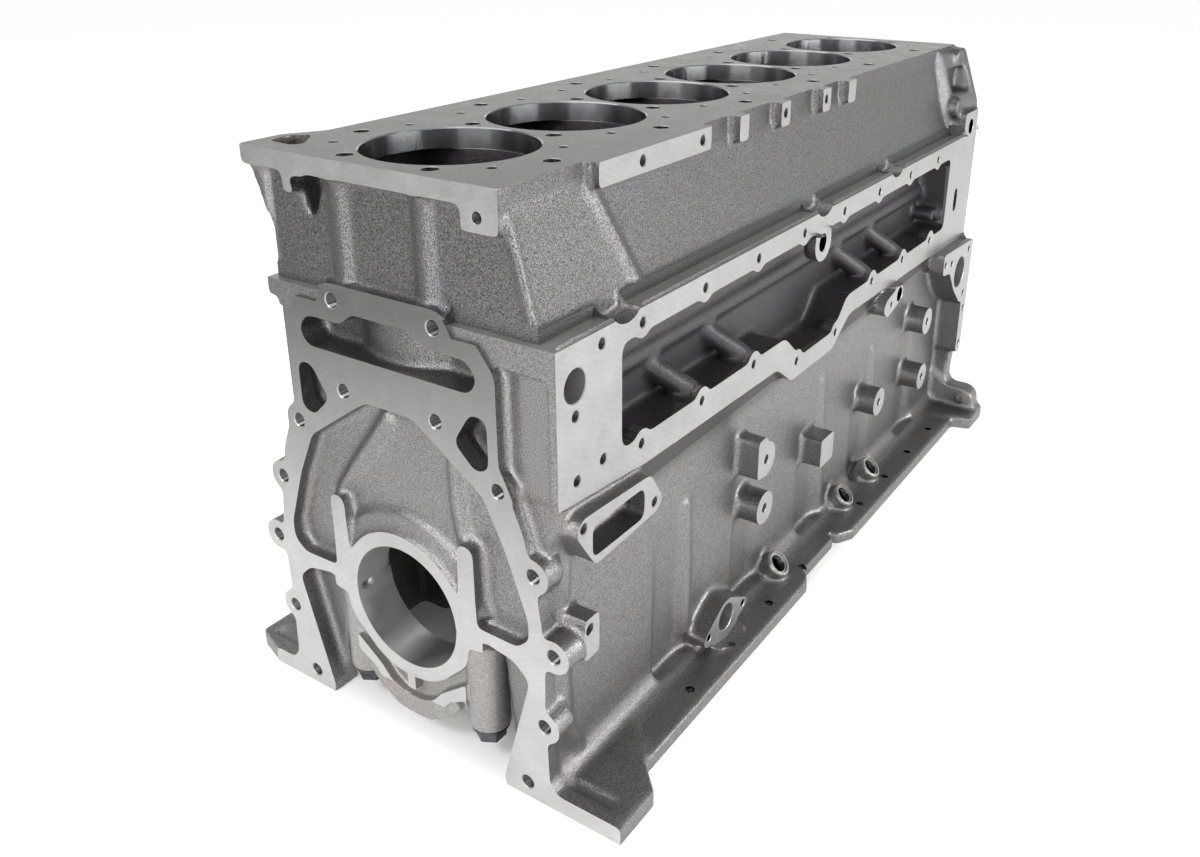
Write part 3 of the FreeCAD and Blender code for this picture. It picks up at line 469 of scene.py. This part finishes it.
def open_ends(one, other, milled):
    """Whether each end of a hole comes out through a milled face."""
    return [any(abs(end @ out - level) < LEVEL_ERROR for _, out, level in milled)
            for end in (one, other)]


def blind(end, radius, some_islands):
    """Whether a flat disc closes this end of a hole."""
    return any(len(island.points) > 8 and np.abs(island.normals - island.normals[0]).max() < 1e-3
               and np.linalg.norm(island.points - end, axis=1).max() < radius * 1.02
               for island in some_islands)


def drill(hole, milled, some_islands, segments, chamfer, pitch=0):
    """A drill with a countersink at each end that opens in a milled face."""
    one, other, radius = hole
    length = np.linalg.norm(other - one)
    near, far = open_ends(one, other, milled)
    if far and not near:
        one, other, near, far = other, one, True, False
    profile = [(0, radius)]
    if near:
        profile = [(-DRILL_LEAD, radius + chamfer), (0, radius + chamfer), (chamfer, radius)]
    if near and pitch:
        along = chamfer + pitch / 2
        while along < min(length - pitch, THREAD_TURNS * pitch):
            profile += [(along, radius + THREAD_DEPTH * pitch), (along + pitch / 2, radius)]
            along += pitch
    if far:
        profile += [(length - chamfer, radius), (length, radius + chamfer),
                    (length + DRILL_LEAD, radius + chamfer)]
    elif blind(other, radius, some_islands):
        profile += [(length, radius)]
    else:
        profile += [(length + BREAKTHROUGH, radius)]
    return lathe(one, other, profile, segments)


# the cutter of a slanted port's mouth: (distance along the port, radius)
PORT_MOUTH = [(-12 * MM, 16.4 * MM), (1 * MM, 16.4 * MM), (1 * MM, 13 * MM), (3.5 * MM, 12.4 * MM),
              (3.5 * MM, 10.6 * MM), (5 * MM, 9.8 * MM), (6 * MM, 10.6 * MM), (7 * MM, 9.8 * MM),
              (8 * MM, 10.6 * MM), (9 * MM, 9.8 * MM), (10 * MM, 10.6 * MM), (12 * MM, 9.6 * MM)]


def slanted(holes):
    """(mouth, inner end) of the holes that slope down through the lower side wall."""
    pairs = []
    for one, other, radius in holes:
        way = np.abs(other - one) / np.linalg.norm(other - one)
        if way[1] > 0.3 and way[2] > 0.3:
            pairs.append((one, other) if one[1] < other[1] else (other, one))
    return pairs


def sideways_plate(outline, y0, y1):
    """A flat piece along the block: outline lists (x, z) in mm, from y0 to y1 in mm."""
    points, faces = plate(outline, y0, y1)
    return points[:, [1, 0, 2]], [f[::-1] for f in faces]


# %% Machine the block
mill(casting, block_milled, BLOCK_LEVELS, tight=(307.0,))
cut(casting, "ledge_scoops", [lathe(h[0], h[1], [(0, h[2]), (np.linalg.norm(h[1] - h[0]), h[2])], 64)
                              for h in ledge_scoops])
RELIEF = 3.0               # how far the rough corners beside the front frame stay back, in mm
RELIEF_START = -20         # where the cutter of those corners starts, in mm
corner = [(73, 312), (81, 297), (108, 297), (127, 272), (127, 190), (141, 160), (192, 160), (192, 312)]
far_corner = corner[:4] + [(127, 262), (192, 262), (192, 312)]
cut(casting, "relief", [plate([(-y, z) for y, z in corner], RELIEF_START, RELIEF),
                        plate(far_corner, RELIEF_START, RELIEF)])
crank = [m for m in frame["record"]["mounts"] if m["name"] == "crank_bore"][0]
main_radius = crank["dims"]["r_mm"] * MM
line_bar = lathe(np.array([-OVERRUN, 0, 0]), np.array([cad_high.x + OVERRUN, 0, 0]),
                 [(0, main_radius), (cad_high.x + 2 * OVERRUN, main_radius)], 128)
cut(casting, "line_bore", [line_bar])
bores = [h for h in block_holes if h[2] > BIG_BORE]
small = [h for h in block_holes if h[2] <= BIG_BORE]
seats = [h for h in bores if any(open_ends(h[0], h[1], block_milled))]
guides = [h for h in bores if not any(open_ends(h[0], h[1], block_milled))]
cut(casting, "bore_seats", [drill(h, block_milled, [], 128, BORE_CHAMFER) for h in seats])
cut(casting, "bore_guides", [drill(h, block_milled, [], 128, 0) for h in guides])


def thread_of(hole):
    """The thread pitch of a hole of this radius, or none if it is a plain hole."""
    radius = hole[2] / MM
    return next((pitch * MM for size, pitch in PITCH.items() if abs(size - radius) < 0.02), 0)


WIDEST_END = 60 * MM       # no flat end of a drilled hole is wider than this
LOW_PORT_CUT = (-216, -191)     # from outside the low port's flange to its face, in mm
flat_islands = [i for i in block_islands if np.ptp(i.points, axis=0).max() < WIDEST_END]
low_port = [(249, -115), (300, -86), (351, -115), (351, -125), (304, -142), (251, -129)]
cut(casting, "low_port_face", [sideways_plate(low_port, *LOW_PORT_CUT)])
ports = slanted(small)
cut(casting, "port_mouths", [lathe(mouth, inner, PORT_MOUTH, 48) for mouth, inner in ports])
cut(casting, "drills", [drill(h, block_milled, flat_islands, 24, CHAMFER, thread_of(h)) for h in small])

# %% [markdown]
# ## The finishes
#
# Shot-blasted iron is a dull grey with a fine sparkling grain. Milled iron is paler
# and shows the faint arcs of the cutter. A bored wall is smoother still. Which finish
# a triangle gets is measured: it lies on a milled level, on a bored wall or on neither.
# A few boxes tell the inside and the upper walls from the rest of the cast skin. Their darker
# skin is painted shade, and inside it is dark scale as well.

# %% Materials
def principled(name, colour, metallic, roughness):
    material = bpy.data.materials.new(name)
    material.use_nodes = True
    shader = material.node_tree.nodes["Principled BSDF"]
    shader.inputs["Base Color"].default_value = (*colour, 1)
    shader.inputs["Metallic"].default_value = metallic
    shader.inputs["Roughness"].default_value = roughness
    return material, material.node_tree, shader


def noise(tree, scale, detail=2.0, rough=0.5):
    """A noise texture in real metres, so its grain has a real size."""
    place = tree.nodes.new("ShaderNodeTexCoord")
    texture = tree.nodes.new("ShaderNodeTexNoise")
    texture.inputs["Scale"].default_value = scale
    texture.inputs["Detail"].default_value = detail
    texture.inputs["Roughness"].default_value = rough
    tree.links.new(place.outputs["Object"], texture.inputs["Vector"])
    return texture.outputs["Fac"]


def ramp(tree, source, low, high, dark, light):
    """Maps a texture's values between low and high to a run from dark to light."""
    node = tree.nodes.new("ShaderNodeValToRGB")
    node.color_ramp.elements[0].position = low
    node.color_ramp.elements[1].position = high
    node.color_ramp.elements[0].color = (*dark, 1)
    node.color_ramp.elements[1].color = (*light, 1)
    tree.links.new(source, node.inputs["Fac"])
    return node.outputs["Color"]


def multiply(tree, one, other):
    """The product of two colours."""
    node = tree.nodes.new("ShaderNodeMix")
    node.data_type = "RGBA"
    node.blend_type = "MULTIPLY"
    node.inputs[0].default_value = 1.0
    tree.links.new(one, node.inputs[6])
    tree.links.new(other, node.inputs[7])
    return node.outputs[2]


def bump(tree, source, depth, strength, below=None):
    node = tree.nodes.new("ShaderNodeBump")
    node.inputs["Strength"].default_value = strength
    node.inputs["Distance"].default_value = depth
    tree.links.new(source, node.inputs["Height"])
    if below:
        tree.links.new(below, node.inputs["Normal"])
    return node.outputs["Normal"]


def blasted_iron(name, dark, light, metallic, size=1.0):
    """Shot-blasted casting skin: a sparkling grain over slow clouds with a touch of brown."""
    material, tree, shader = principled(name, light, metallic, 0.5)
    colour = ramp(tree, noise(tree, 900 / size, 2, 0.6), 0.38, 0.62, dark, light)
    cloud = ramp(tree, noise(tree, 9, 3, 0.5), 0.35, 0.65, (0.97, 0.98, 1), (1, 0.965, 0.945))
    tree.links.new(multiply(tree, colour, cloud), shader.inputs["Base Color"])
    grain = noise(tree, 700 / size, 2, 0.6)
    rough = ramp(tree, grain, 0.35, 0.65, (0.28,) * 3, (0.5,) * 3)
    tree.links.new(rough, shader.inputs["Roughness"])
    hills = bump(tree, noise(tree, 130, 3, 0.6), 0.8 * MM, 0.3)
    tree.links.new(bump(tree, grain, 0.5 * MM, 0.8, hills), shader.inputs["Normal"])
    return material


def milled_iron(name, dark, light, rough_low, rough_high, centre, spacing, arcs_share, painted_shade_by_height=None):
    """Milled metal with faint arcs of the cutter, and an optional painted shade by height: (from height,
    to height, shade).
    """
    material, tree, shader = principled(name, light, 0.65, 0.36)
    place = tree.nodes.new("ShaderNodeTexCoord")
    move = tree.nodes.new("ShaderNodeMapping")
    move.inputs["Location"].default_value = centre
    arcs = tree.nodes.new("ShaderNodeTexWave")
    arcs.wave_type = "RINGS"
    arcs.rings_direction = "SPHERICAL"
    arcs.inputs["Scale"].default_value = 0.314 / spacing
    arcs.inputs["Distortion"].default_value = 2.5
    arcs.inputs["Detail"].default_value = 4
    arcs.inputs["Detail Scale"].default_value = 2.0
    tree.links.new(place.outputs["Object"], move.inputs["Vector"])
    tree.links.new(move.outputs["Vector"], arcs.inputs["Vector"])
    streaks = noise(tree, 30, 8, 0.7)
    blend = tree.nodes.new("ShaderNodeMix")
    blend.inputs[0].default_value = arcs_share
    tree.links.new(streaks, blend.inputs[2])
    tree.links.new(arcs.outputs["Fac"], blend.inputs[3])
    colour = ramp(tree, blend.outputs[0], 0.3, 0.7, dark, light)
    # painted shade: the colour darkens with height
    if painted_shade_by_height:
        height = tree.nodes.new("ShaderNodeSeparateXYZ")
        tree.links.new(place.outputs["Object"], height.inputs[0])
        shade = ramp(tree, height.outputs["Z"], painted_shade_by_height[0], painted_shade_by_height[1], (1, 1, 1), (painted_shade_by_height[2],) * 3)
        colour = multiply(tree, colour, shade)
    tree.links.new(colour, shader.inputs["Base Color"])
    tree.links.new(ramp(tree, streaks, 0.3, 0.7, (rough_low,) * 3, (rough_high,) * 3),
                   shader.inputs["Roughness"])
    return material


def bored_iron(name, dark, light, rough_low, rough_high, axis=None):
    """A bored wall: the rings of the tool smear each highlight along the axis of the bore."""
    material, tree, shader = principled(name, light, 1.0, rough_low)
    patches = noise(tree, 60, 4, 0.6)
    tree.links.new(ramp(tree, patches, 0.3, 0.7, dark, light), shader.inputs["Base Color"])
    tree.links.new(ramp(tree, patches, 0.3, 0.7, (rough_low,) * 3, (rough_high,) * 3),
                   shader.inputs["Roughness"])
    if axis:
        along = tree.nodes.new("ShaderNodeCombineXYZ")
        for socket, value in zip(along.inputs, axis):
            socket.default_value = value
        shader.inputs["Anisotropic"].default_value = 0.85
        tree.links.new(along.outputs[0], shader.inputs["Tangent"])
    return material


def blackened_steel():
    material, tree, shader = principled("blackened_steel", (0.07, 0.07, 0.075), 0.9, 0.4)
    colour = ramp(tree, noise(tree, 60, 4), 0.3, 0.7, (0.05, 0.05, 0.055), (0.1, 0.1, 0.105))
    tree.links.new(colour, shader.inputs["Base Color"])
    return material


CAST, MILLED, BORED, DRILLED, INSIDE, GROUND, UPPER, HONED, CAP_CAST, FRONT = range(10)
finishes = [
    blasted_iron("blasted_iron", (0.13, 0.128, 0.127), (0.31, 0.307, 0.304), 0.92),
    milled_iron("milled_iron", (0.32, 0.32, 0.316), (0.42, 0.42, 0.412), 0.3, 0.42,
                (0.32, 0.4, 0.5), 6 * MM, 0.07),
    bored_iron("bored_iron", (0.37, 0.37, 0.38), (0.43, 0.43, 0.44), 0.2, 0.22, (0, 0, 1)),
    # drilled walls: a very dark colour that paints the shade inside the holes
    bored_iron("drilled_iron_painted_shade", (0.045, 0.045, 0.05), (0.1, 0.1, 0.105), 0.22, 0.3),
    # the inside: darker scale together with painted shade in the bays and the gallery
    blasted_iron("inside_iron_scale_and_painted_shade", (0.03, 0.028, 0.03), (0.085, 0.08, 0.084), 0.45),
    # the deck: finer arcs of grinding, and a dark colour that paints a dark reflection
    milled_iron("ground_iron_painted_reflection", (0.1, 0.1, 0.098), (0.16, 0.16, 0.155), 0.22, 0.34,
                (-1.2, 0.9, 0.4), 9 * MM, 0.05),
    # a darker copy of the cast skin: painted shade on the upper walls and in the slot
    blasted_iron("upper_iron_painted_shade", (0.055, 0.055, 0.056), (0.23, 0.229, 0.23), 0.88, 0.95),
    bored_iron("honed_iron", (0.58, 0.58, 0.585), (0.64, 0.64, 0.645), 0.36, 0.4, (1, 0, 0)),
    blasted_iron("cap_iron", (0.22, 0.21, 0.2), (0.4, 0.385, 0.37), 0.55),
    # a paler copy of milled iron that darkens towards the top of the front frame: painted light low down
    # and painted shade above
    milled_iron("front_iron_painted_shade", (0.42, 0.42, 0.415), (0.52, 0.52, 0.512), 0.3, 0.42,
                (0.32, 0.4, 0.5), 6 * MM, 0.07, (-0.1, 0.305, 0.3)),
]
steel = blackened_steel()
print("finishes:", [m.name for m in finishes])

# %% Give each triangle its finish
FRAME_TOP = 330 * MM      # the front frame ends below this, and the deck's lip is above
FAR_WALL = 134            # the painted shade of the upper walls stops here, and the plain far wall keeps the lighter skin, in mm
WIDE_HOLE = 11 * MM
END_ERROR = 0.1 * MM      # how far a wall's triangles may lie past the ends of its hole
WALL_BAND = 1.6 * MM      # chamfers and thread rings lie within this of a wall
MOUTH_DEPTH = 4 * MM      # a slanted port's mouth is milled this deep, between two radii
MOUTH_INNER = 9.8 * MM
MOUTH_OUTER = 16.6 * MM


def boxed(centres, low_corner, high_corner):
    """Which points lie in a box that is given in millimetres."""
    return ((centres > np.array(low_corner) * MM) & (centres < np.array(high_corner) * MM)).all(axis=1)


def from_axis(centres, one, other):
    """(places along a hole's axis, distances from it, the axis, the hole's length)."""
    axis = other - one
    length = np.linalg.norm(axis)
    axis = axis / length
    away = centres - one
    along = away @ axis
    return along, np.linalg.norm(away - along[:, None] * axis, axis=1), axis, length


def paint(piece, levels, walls, boxes, skin=CAST, ground=(), rings=()):
    """Sets each face's material: milled level, bored or drilled wall, or cast skin.

    Later rules win: the skin, its boxes, the levels (ground ones are finer and darker, a painted
    reflection, and the front frame has its own finish with painted light and shade), the walls,
    and last the milled mouths of the slanted ports.
    """
    mesh = piece.data
    n = len(mesh.polygons)
    centres = np.zeros(n * 3, np.float32)
    normals = np.zeros(n * 3, np.float32)
    mesh.polygons.foreach_get("center", centres)
    mesh.polygons.foreach_get("normal", normals)
    centres, normals = centres.reshape(-1, 3), normals.reshape(-1, 3)
    finish = np.full(n, skin, np.int32)
    for kind, low_corner, high_corner in boxes:
        finish[boxed(centres, low_corner, high_corner)] = kind
    for out, heights in levels.items():
        facing = normals @ np.array(out, np.float32) > 0.999
        height = centres @ np.array(out, np.float32)
        for level in heights:
            kind = GROUND if out == (0, 0, 1) and level in ground else MILLED
            here = facing & (np.abs(height - level * MM) < 3 * LEVEL_ERROR)
            finish[here] = kind
            # the front frame gets its copy of milled iron with painted light and shade
            if out == (-1, 0, 0) and level == 0.0:
                finish[here & (centres[:, 2] < FRAME_TOP)] = FRONT
    for kind, holes in walls:
        for one, other, radius in holes:
            along, across, axis, length = from_axis(centres, one, other)
            wall = (along > -END_ERROR) & (along < length + END_ERROR)
            wall &= (across > radius * 0.97) & (across < radius + WALL_BAND)
            wall &= np.abs(normals @ axis) < 0.95
            finish[wall] = kind
            if kind == DRILLED:
                end = np.minimum(np.abs(along), np.abs(length - along)) < CHAMFER
                finish[wall & end & (np.abs(normals @ axis) > 0.5)] = MILLED
    for mouth, inner in rings:
        along, across = from_axis(centres, mouth, inner)[:2]
        milled = (across < MOUTH_OUTER) & (across > MOUTH_INNER)
        finish[milled & (np.abs(along) < MOUTH_DEPTH)] = MILLED
    mesh.materials.clear()
    for material in finishes:
        mesh.materials.append(material)
    mesh.polygons.foreach_set("material_index", finish)
    mesh.update()
    mesh.polygons.foreach_set("use_smooth", [True] * n)
    mesh.set_sharp_from_angle(angle=math.radians(32))
    return {finishes[kind].name: int((finish == kind).sum()) for kind in range(len(finishes))}


crank_line = (np.array([0.0, 0, 0]), np.array([cad_high.x, 0, 0]), main_radius)
# (finish, low corner, high corner) in mm
# the darker skins in these boxes paint shade on the upper walls, in the slot and inside, where the inside
# also has dark scale
BOXES = [(UPPER, (-1, -200, 309), (1061, FAR_WALL, 431)),
         (INSIDE, (35, -153, -154), (1025, 153, 172)),
         (INSIDE, (16, -118, 172.5), (1044, 118, 412)),
         (INSIDE, (60, -181, 120), (1000, -120, 300)),
         (UPPER, (3, -119, 205), (42, 119, 300))]
print(paint(casting, BLOCK_LEVELS, [(DRILLED, small), (MILLED, [h for h in small if h[2] > WIDE_HOLE]),
                                    (BORED, bores), (HONED, [crank_line]),
                                    (MILLED, ledge_scoops)], BOXES, ground=(430.0,), rings=ports))
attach(casting, "root")
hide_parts("cylinder_block")

# %% [markdown]
# ## Caps, bolts and washers
#
# The seven bearing caps are one casting used seven times, so one cap is cast, milled
# and bored, and the others are copies of its mesh set in their own places. The bolts
# and washers are turned steel, blackened, and only need their sharp edges broken.

# %% Cast and machine one cap
cap_islands = islands(frame["nodes"]["main_cap_1"].data)
cap_low = min(island.points[:, 0].min() for island in cap_islands)
cap_high = max(island.points[:, 0].max() for island in cap_islands)
cap_levels = {(-1, 0, 0): [-cap_low / MM], (1, 0, 0): [cap_high / MM], (0, 0, 1): [0.0]}
cap_milled = milled_faces(cap_islands, cap_levels)
cap_holes = round_holes(cap_islands)
SLING = ((0, -54.5), 73.5, 52)       # its centre in (y, z), its outer and its inner radius in mm
front = cap_low / MM
band = arc(*SLING[:2], -148, -32, 40) + arc(SLING[0], SLING[2], -28, -152, 40)
SKIN_BACK = 1.5                      # the sling keeps its cast skin this far behind the milled ring
SLING_BACK = 15                      # how far behind the ring the sling's band ends, in mm
cap_forms = [plate(band, front + SKIN_BACK, front + SLING_BACK)]
cap = cast("main_cap_1", cap_milled, cap_holes, cap_forms,
           grain=1.7 * MM, rounding=6, most_triangles=24000)
mill(cap, cap_milled, cap_levels)
NUB = 5                              # half width of the nub under the ring, in mm
cut(cap, "nub", [plate([(side * y, z) for y, z in
                        ((NUB, -79.8), (20, -77.5), (31, -73.5), (31, -86), (16, -98), (NUB, -98))],
                       front - 5, front + 9) for side in (-1, 1)])
sling_front = [(-75, -88), (-52, -88), (-42, -99.5), (42, -99.5), (52, -88), (75, -88),
               (75, -135), (-75, -135)]
cut(cap, "sling_front", [plate(sling_front, front - 5, front + SKIN_BACK)])
cut(cap, "cap_bore", [line_bar])
cut(cap, "cap_drills", [drill(h, cap_milled, cap_islands, 24, CAP_CHAMFER) for h in cap_holes])
print(paint(cap, cap_levels, [(DRILLED, cap_holes), (HONED, [crank_line])], [], CAP_CAST))

# %% Set the seven caps
for number in range(1, 8):
    name = "main_cap_%d" % number
    own_low = min(v.co.x for v in frame["nodes"][name].data.vertices)
    piece = cap if number == 1 else new_object(name + "_casting", [], [])
    if number > 1:
        piece.data = cap.data.copy()
        piece.data.transform(Matrix.Translation((own_low - cap_low, 0, 0)))
    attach(piece, "root")
    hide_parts(name)
print("caps:", number, "with", len(cap.data.polygons), "faces each")

# %% Break the edges of the bolts and washers
def broken_edges(name, width):
    """The CAD piece with its face islands joined up and its sharp edges bevelled."""
    mesh = frame["nodes"][name].data.copy()
    shape = bmesh.new()
    shape.from_mesh(mesh)
    bmesh.ops.remove_doubles(shape, verts=shape.verts, dist=0.01 * MM)
    bmesh.ops.dissolve_limit(shape, angle_limit=math.radians(1), verts=shape.verts, edges=shape.edges)
    sharp = [e for e in shape.edges if len(e.link_faces) == 2 and e.calc_face_angle() > math.radians(40)]
    bmesh.ops.bevel(shape, geom=sharp, offset=width, segments=2, affect="EDGES", clamp_overlap=True)
    shape.to_mesh(mesh)
    shape.free()
    piece = bpy.data.objects.new(name + "_finished", mesh)
    bpy.context.scene.collection.objects.link(piece)
    mesh.materials.clear()
    mesh.materials.append(steel)
    mesh.polygons.foreach_set("use_smooth", [True] * len(mesh.polygons))
    mesh.set_sharp_from_angle(angle=math.radians(25))
    return piece


for number in range(1, 8):
    for kind, width, slot in (("bolts", 0.8 * MM, "bolt_steel"), ("washers", 0.4 * MM, "washer_steel")):
        name = "main_cap_%d_%s" % (number, kind)
        piece = broken_edges(name, width)
        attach(piece, "root")
        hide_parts(name)
print("bolts and washers finished,", round(time.time() - started, 1), "s")

# %% [markdown]
# ## The studio
#
# The block stands on a white floor under large soft lamps. A white room can be made by
# burning the lamps brighter, but that bleaches the iron too. So the floor and the world
# glow a little for the camera and for reflections only, and the floor still takes the
# soft shadow. Under and around the block the floor's glow fades to nothing, which paints
# a shadow there. In reflections the glow of the floor fades out behind the block, which
# leaves darker tones in the iron.

# %% The floor and the world
def calculate(tree, operation, a, b):
    """One Math node whose inputs are sockets or numbers."""
    node = tree.nodes.new("ShaderNodeMath")
    node.operation = operation
    for socket, value in zip(node.inputs, (a, b)):
        if isinstance(value, (int, float)):
            socket.default_value = value
        else:
            tree.links.new(value, socket)
    return node.outputs[0]


def seen_or_mirrored(tree, mirrored=1.0):
    """1 for the camera's rays, a share for reflected and refracted ones, else 0."""
    path = tree.nodes.new("ShaderNodeLightPath")
    reflected, refracted = path.outputs["Is Glossy Ray"], path.outputs["Is Transmission Ray"]
    bounced = calculate(tree, "MAXIMUM", reflected, refracted)
    share = calculate(tree, "MULTIPLY", bounced, mirrored)
    return calculate(tree, "MAXIMUM", path.outputs["Is Camera Ray"], share)


FLOOR_Z = cad_low.z
ROOM_LIGHT = 0.5
GLOW = ((0.92, 0.02), (1.12, 0.5), (3.2, 0.68))    # (distance, glow): 1 is the edge of the painted shadow under the block, where the glow is low
PAPER_END = (0.4, 0.85)     # where the lit paper behind the block ends for reflections, in metres
HALF_PAINTED_SHADOW = (0.49, 0.2)     # half length and half width of the painted shadow under the block, in metres
PAINTED_SHADOW_CORNERS = 0.5          # how round the corners of the painted shadow are
FLOOR_REACH = 30            # half the floor's width, in metres
corners = [(x * FLOOR_REACH, y * FLOOR_REACH, FLOOR_Z) for x, y in ((-1, -1), (1, -1), (1, 1), (-1, 1))]
floor = new_object("floor", corners, [(0, 1, 2, 3)])
pale, tree, shader = principled("pale_floor", (0.85, 0.85, 0.85), 0.0, 0.8)
place = tree.nodes.new("ShaderNodeTexCoord")
split = tree.nodes.new("ShaderNodeSeparateXYZ")
tree.links.new(place.outputs["Object"], split.inputs[0])
# the glow fades towards the block's footprint, which paints a shadow under and around it
from_middle = calculate(tree, "SUBTRACT", split.outputs["X"], (cad_low.x + cad_high.x) / 2)
along_x = calculate(tree, "DIVIDE", calculate(tree, "ABSOLUTE", from_middle, 0), HALF_PAINTED_SHADOW[0])
along_y = calculate(tree, "DIVIDE", calculate(tree, "ABSOLUTE", split.outputs["Y"], 0), HALF_PAINTED_SHADOW[1])
distance = calculate(tree, "SMOOTH_MAX", along_x, along_y)
distance.node.inputs[2].default_value = PAINTED_SHADOW_CORNERS
scaled = calculate(tree, "DIVIDE", distance, GLOW[-1][0])
fade = tree.nodes.new("ShaderNodeValToRGB")
fade.color_ramp.elements.new(GLOW[1][0] / GLOW[-1][0])
for element, (reach, value) in zip(fade.color_ramp.elements, GLOW):
    element.position = reach / GLOW[-1][0]
    element.color = (value, value, value, 1)
tree.links.new(scaled, fade.inputs["Fac"])
glow = tree.nodes.new("ShaderNodeEmission")
glow.inputs["Color"].default_value = (1, 1, 1, 1)
both = tree.nodes.new("ShaderNodeAddShader")
paper = ramp(tree, split.outputs["Y"], *PAPER_END, (1, 1, 1), (0, 0, 0))
strength = calculate(tree, "MULTIPLY", seen_or_mirrored(tree, paper), fade.outputs["Color"])
tree.links.new(strength, glow.inputs["Strength"])
tree.links.new(shader.outputs[0], both.inputs[0])
tree.links.new(glow.outputs[0], both.inputs[1])
tree.links.new(both.outputs[0], tree.nodes["Material Output"].inputs["Surface"])
floor.data.materials.append(pale)

world = bpy.data.worlds.new("studio")
bpy.context.scene.world = world
world.use_nodes = True
tree = world.node_tree
place = tree.nodes.new("ShaderNodeTexCoord")
split = tree.nodes.new("ShaderNodeSeparateXYZ")
tree.links.new(place.outputs["Generated"], split.inputs[0])
height = split.outputs["Z"]
background = tree.nodes["Background"]
tree.links.new(ramp(tree, height, 0.0, 0.8, (1, 1, 1), (0.55, 0.55, 0.55)), background.inputs["Color"])
background.inputs["Strength"].default_value = ROOM_LIGHT
seen = tree.nodes.new("ShaderNodeBackground")
tree.links.new(ramp(tree, height, 0.12, 0.6, (1, 1, 1), (0.4, 0.4, 0.4)), seen.inputs["Color"])
seen.inputs["Strength"].default_value = 1.0
mix = tree.nodes.new("ShaderNodeMixShader")
tree.links.new(seen_or_mirrored(tree), mix.inputs["Fac"])
tree.links.new(background.outputs[0], mix.inputs[1])
tree.links.new(seen.outputs[0], mix.inputs[2])
tree.links.new(mix.outputs[0], tree.nodes["World Output"].inputs["Surface"])
print("floor at", round(FLOOR_Z / MM, 1), "mm, room light", ROOM_LIGHT)


# %% Lamps and camera
def lamp(name, place, target, size, watts):
    light = bpy.data.lights.new(name, "AREA")
    light.shape = "RECTANGLE"
    light.size, light.size_y = size
    light.energy = watts
    body = bpy.data.objects.new(name, light)
    bpy.context.scene.collection.objects.link(body)
    body.location = place
    body.rotation_mode = "QUATERNION"
    body.rotation_quaternion = (Vector(target) - Vector(place)).to_track_quat("-Z", "Y")


middle = (cad_low + cad_high) / 2
lamp("key", (-2.4, -0.5, 0.6), middle, (2.0, 1.6), 36)
lamp("high_key", (-1.5, 0.3, 1.7), (0, 0, 0.1), (0.9, 0.5), 22)
lamp("side", (1.0, -3.0, 0.9), middle, (2.6, 1.2), 75)
lamp("top", (0.6, 0.6, 2.6), middle, (2.4, 2.0), 22)

AZIMUTH, ELEVATION, ROLL = (math.radians(a) for a in (-55.688, 22.289, -0.126))
camera = bpy.data.objects.new("camera", bpy.data.cameras.new("camera"))
bpy.context.scene.collection.objects.link(camera)
bpy.context.scene.camera = camera
flat = math.cos(ELEVATION)
back = Vector((math.sin(AZIMUTH) * flat, -math.cos(AZIMUTH) * flat, math.sin(ELEVATION)))
right = (-back).cross(Vector((0, 0, 1))).normalized()
up = right.cross(-back)
turned_right = math.cos(ROLL) * right + math.sin(ROLL) * up
turned_up = -math.sin(ROLL) * right + math.cos(ROLL) * up
camera.rotation_mode = "QUATERNION"
camera.rotation_quaternion = Matrix((turned_right, turned_up, back)).transposed().to_quaternion()
camera.location = (-609.856 * MM, -656.306 * MM, 629.115 * MM)
camera.data.sensor_width = 36.0
camera.data.lens = 32.651
camera.data.shift_x = -0.0091
camera.data.shift_y = -0.0682
camera.data.clip_start = 0.05
print("camera at", [round(v / MM, 1) for v in camera.location], "lens", camera.data.lens)
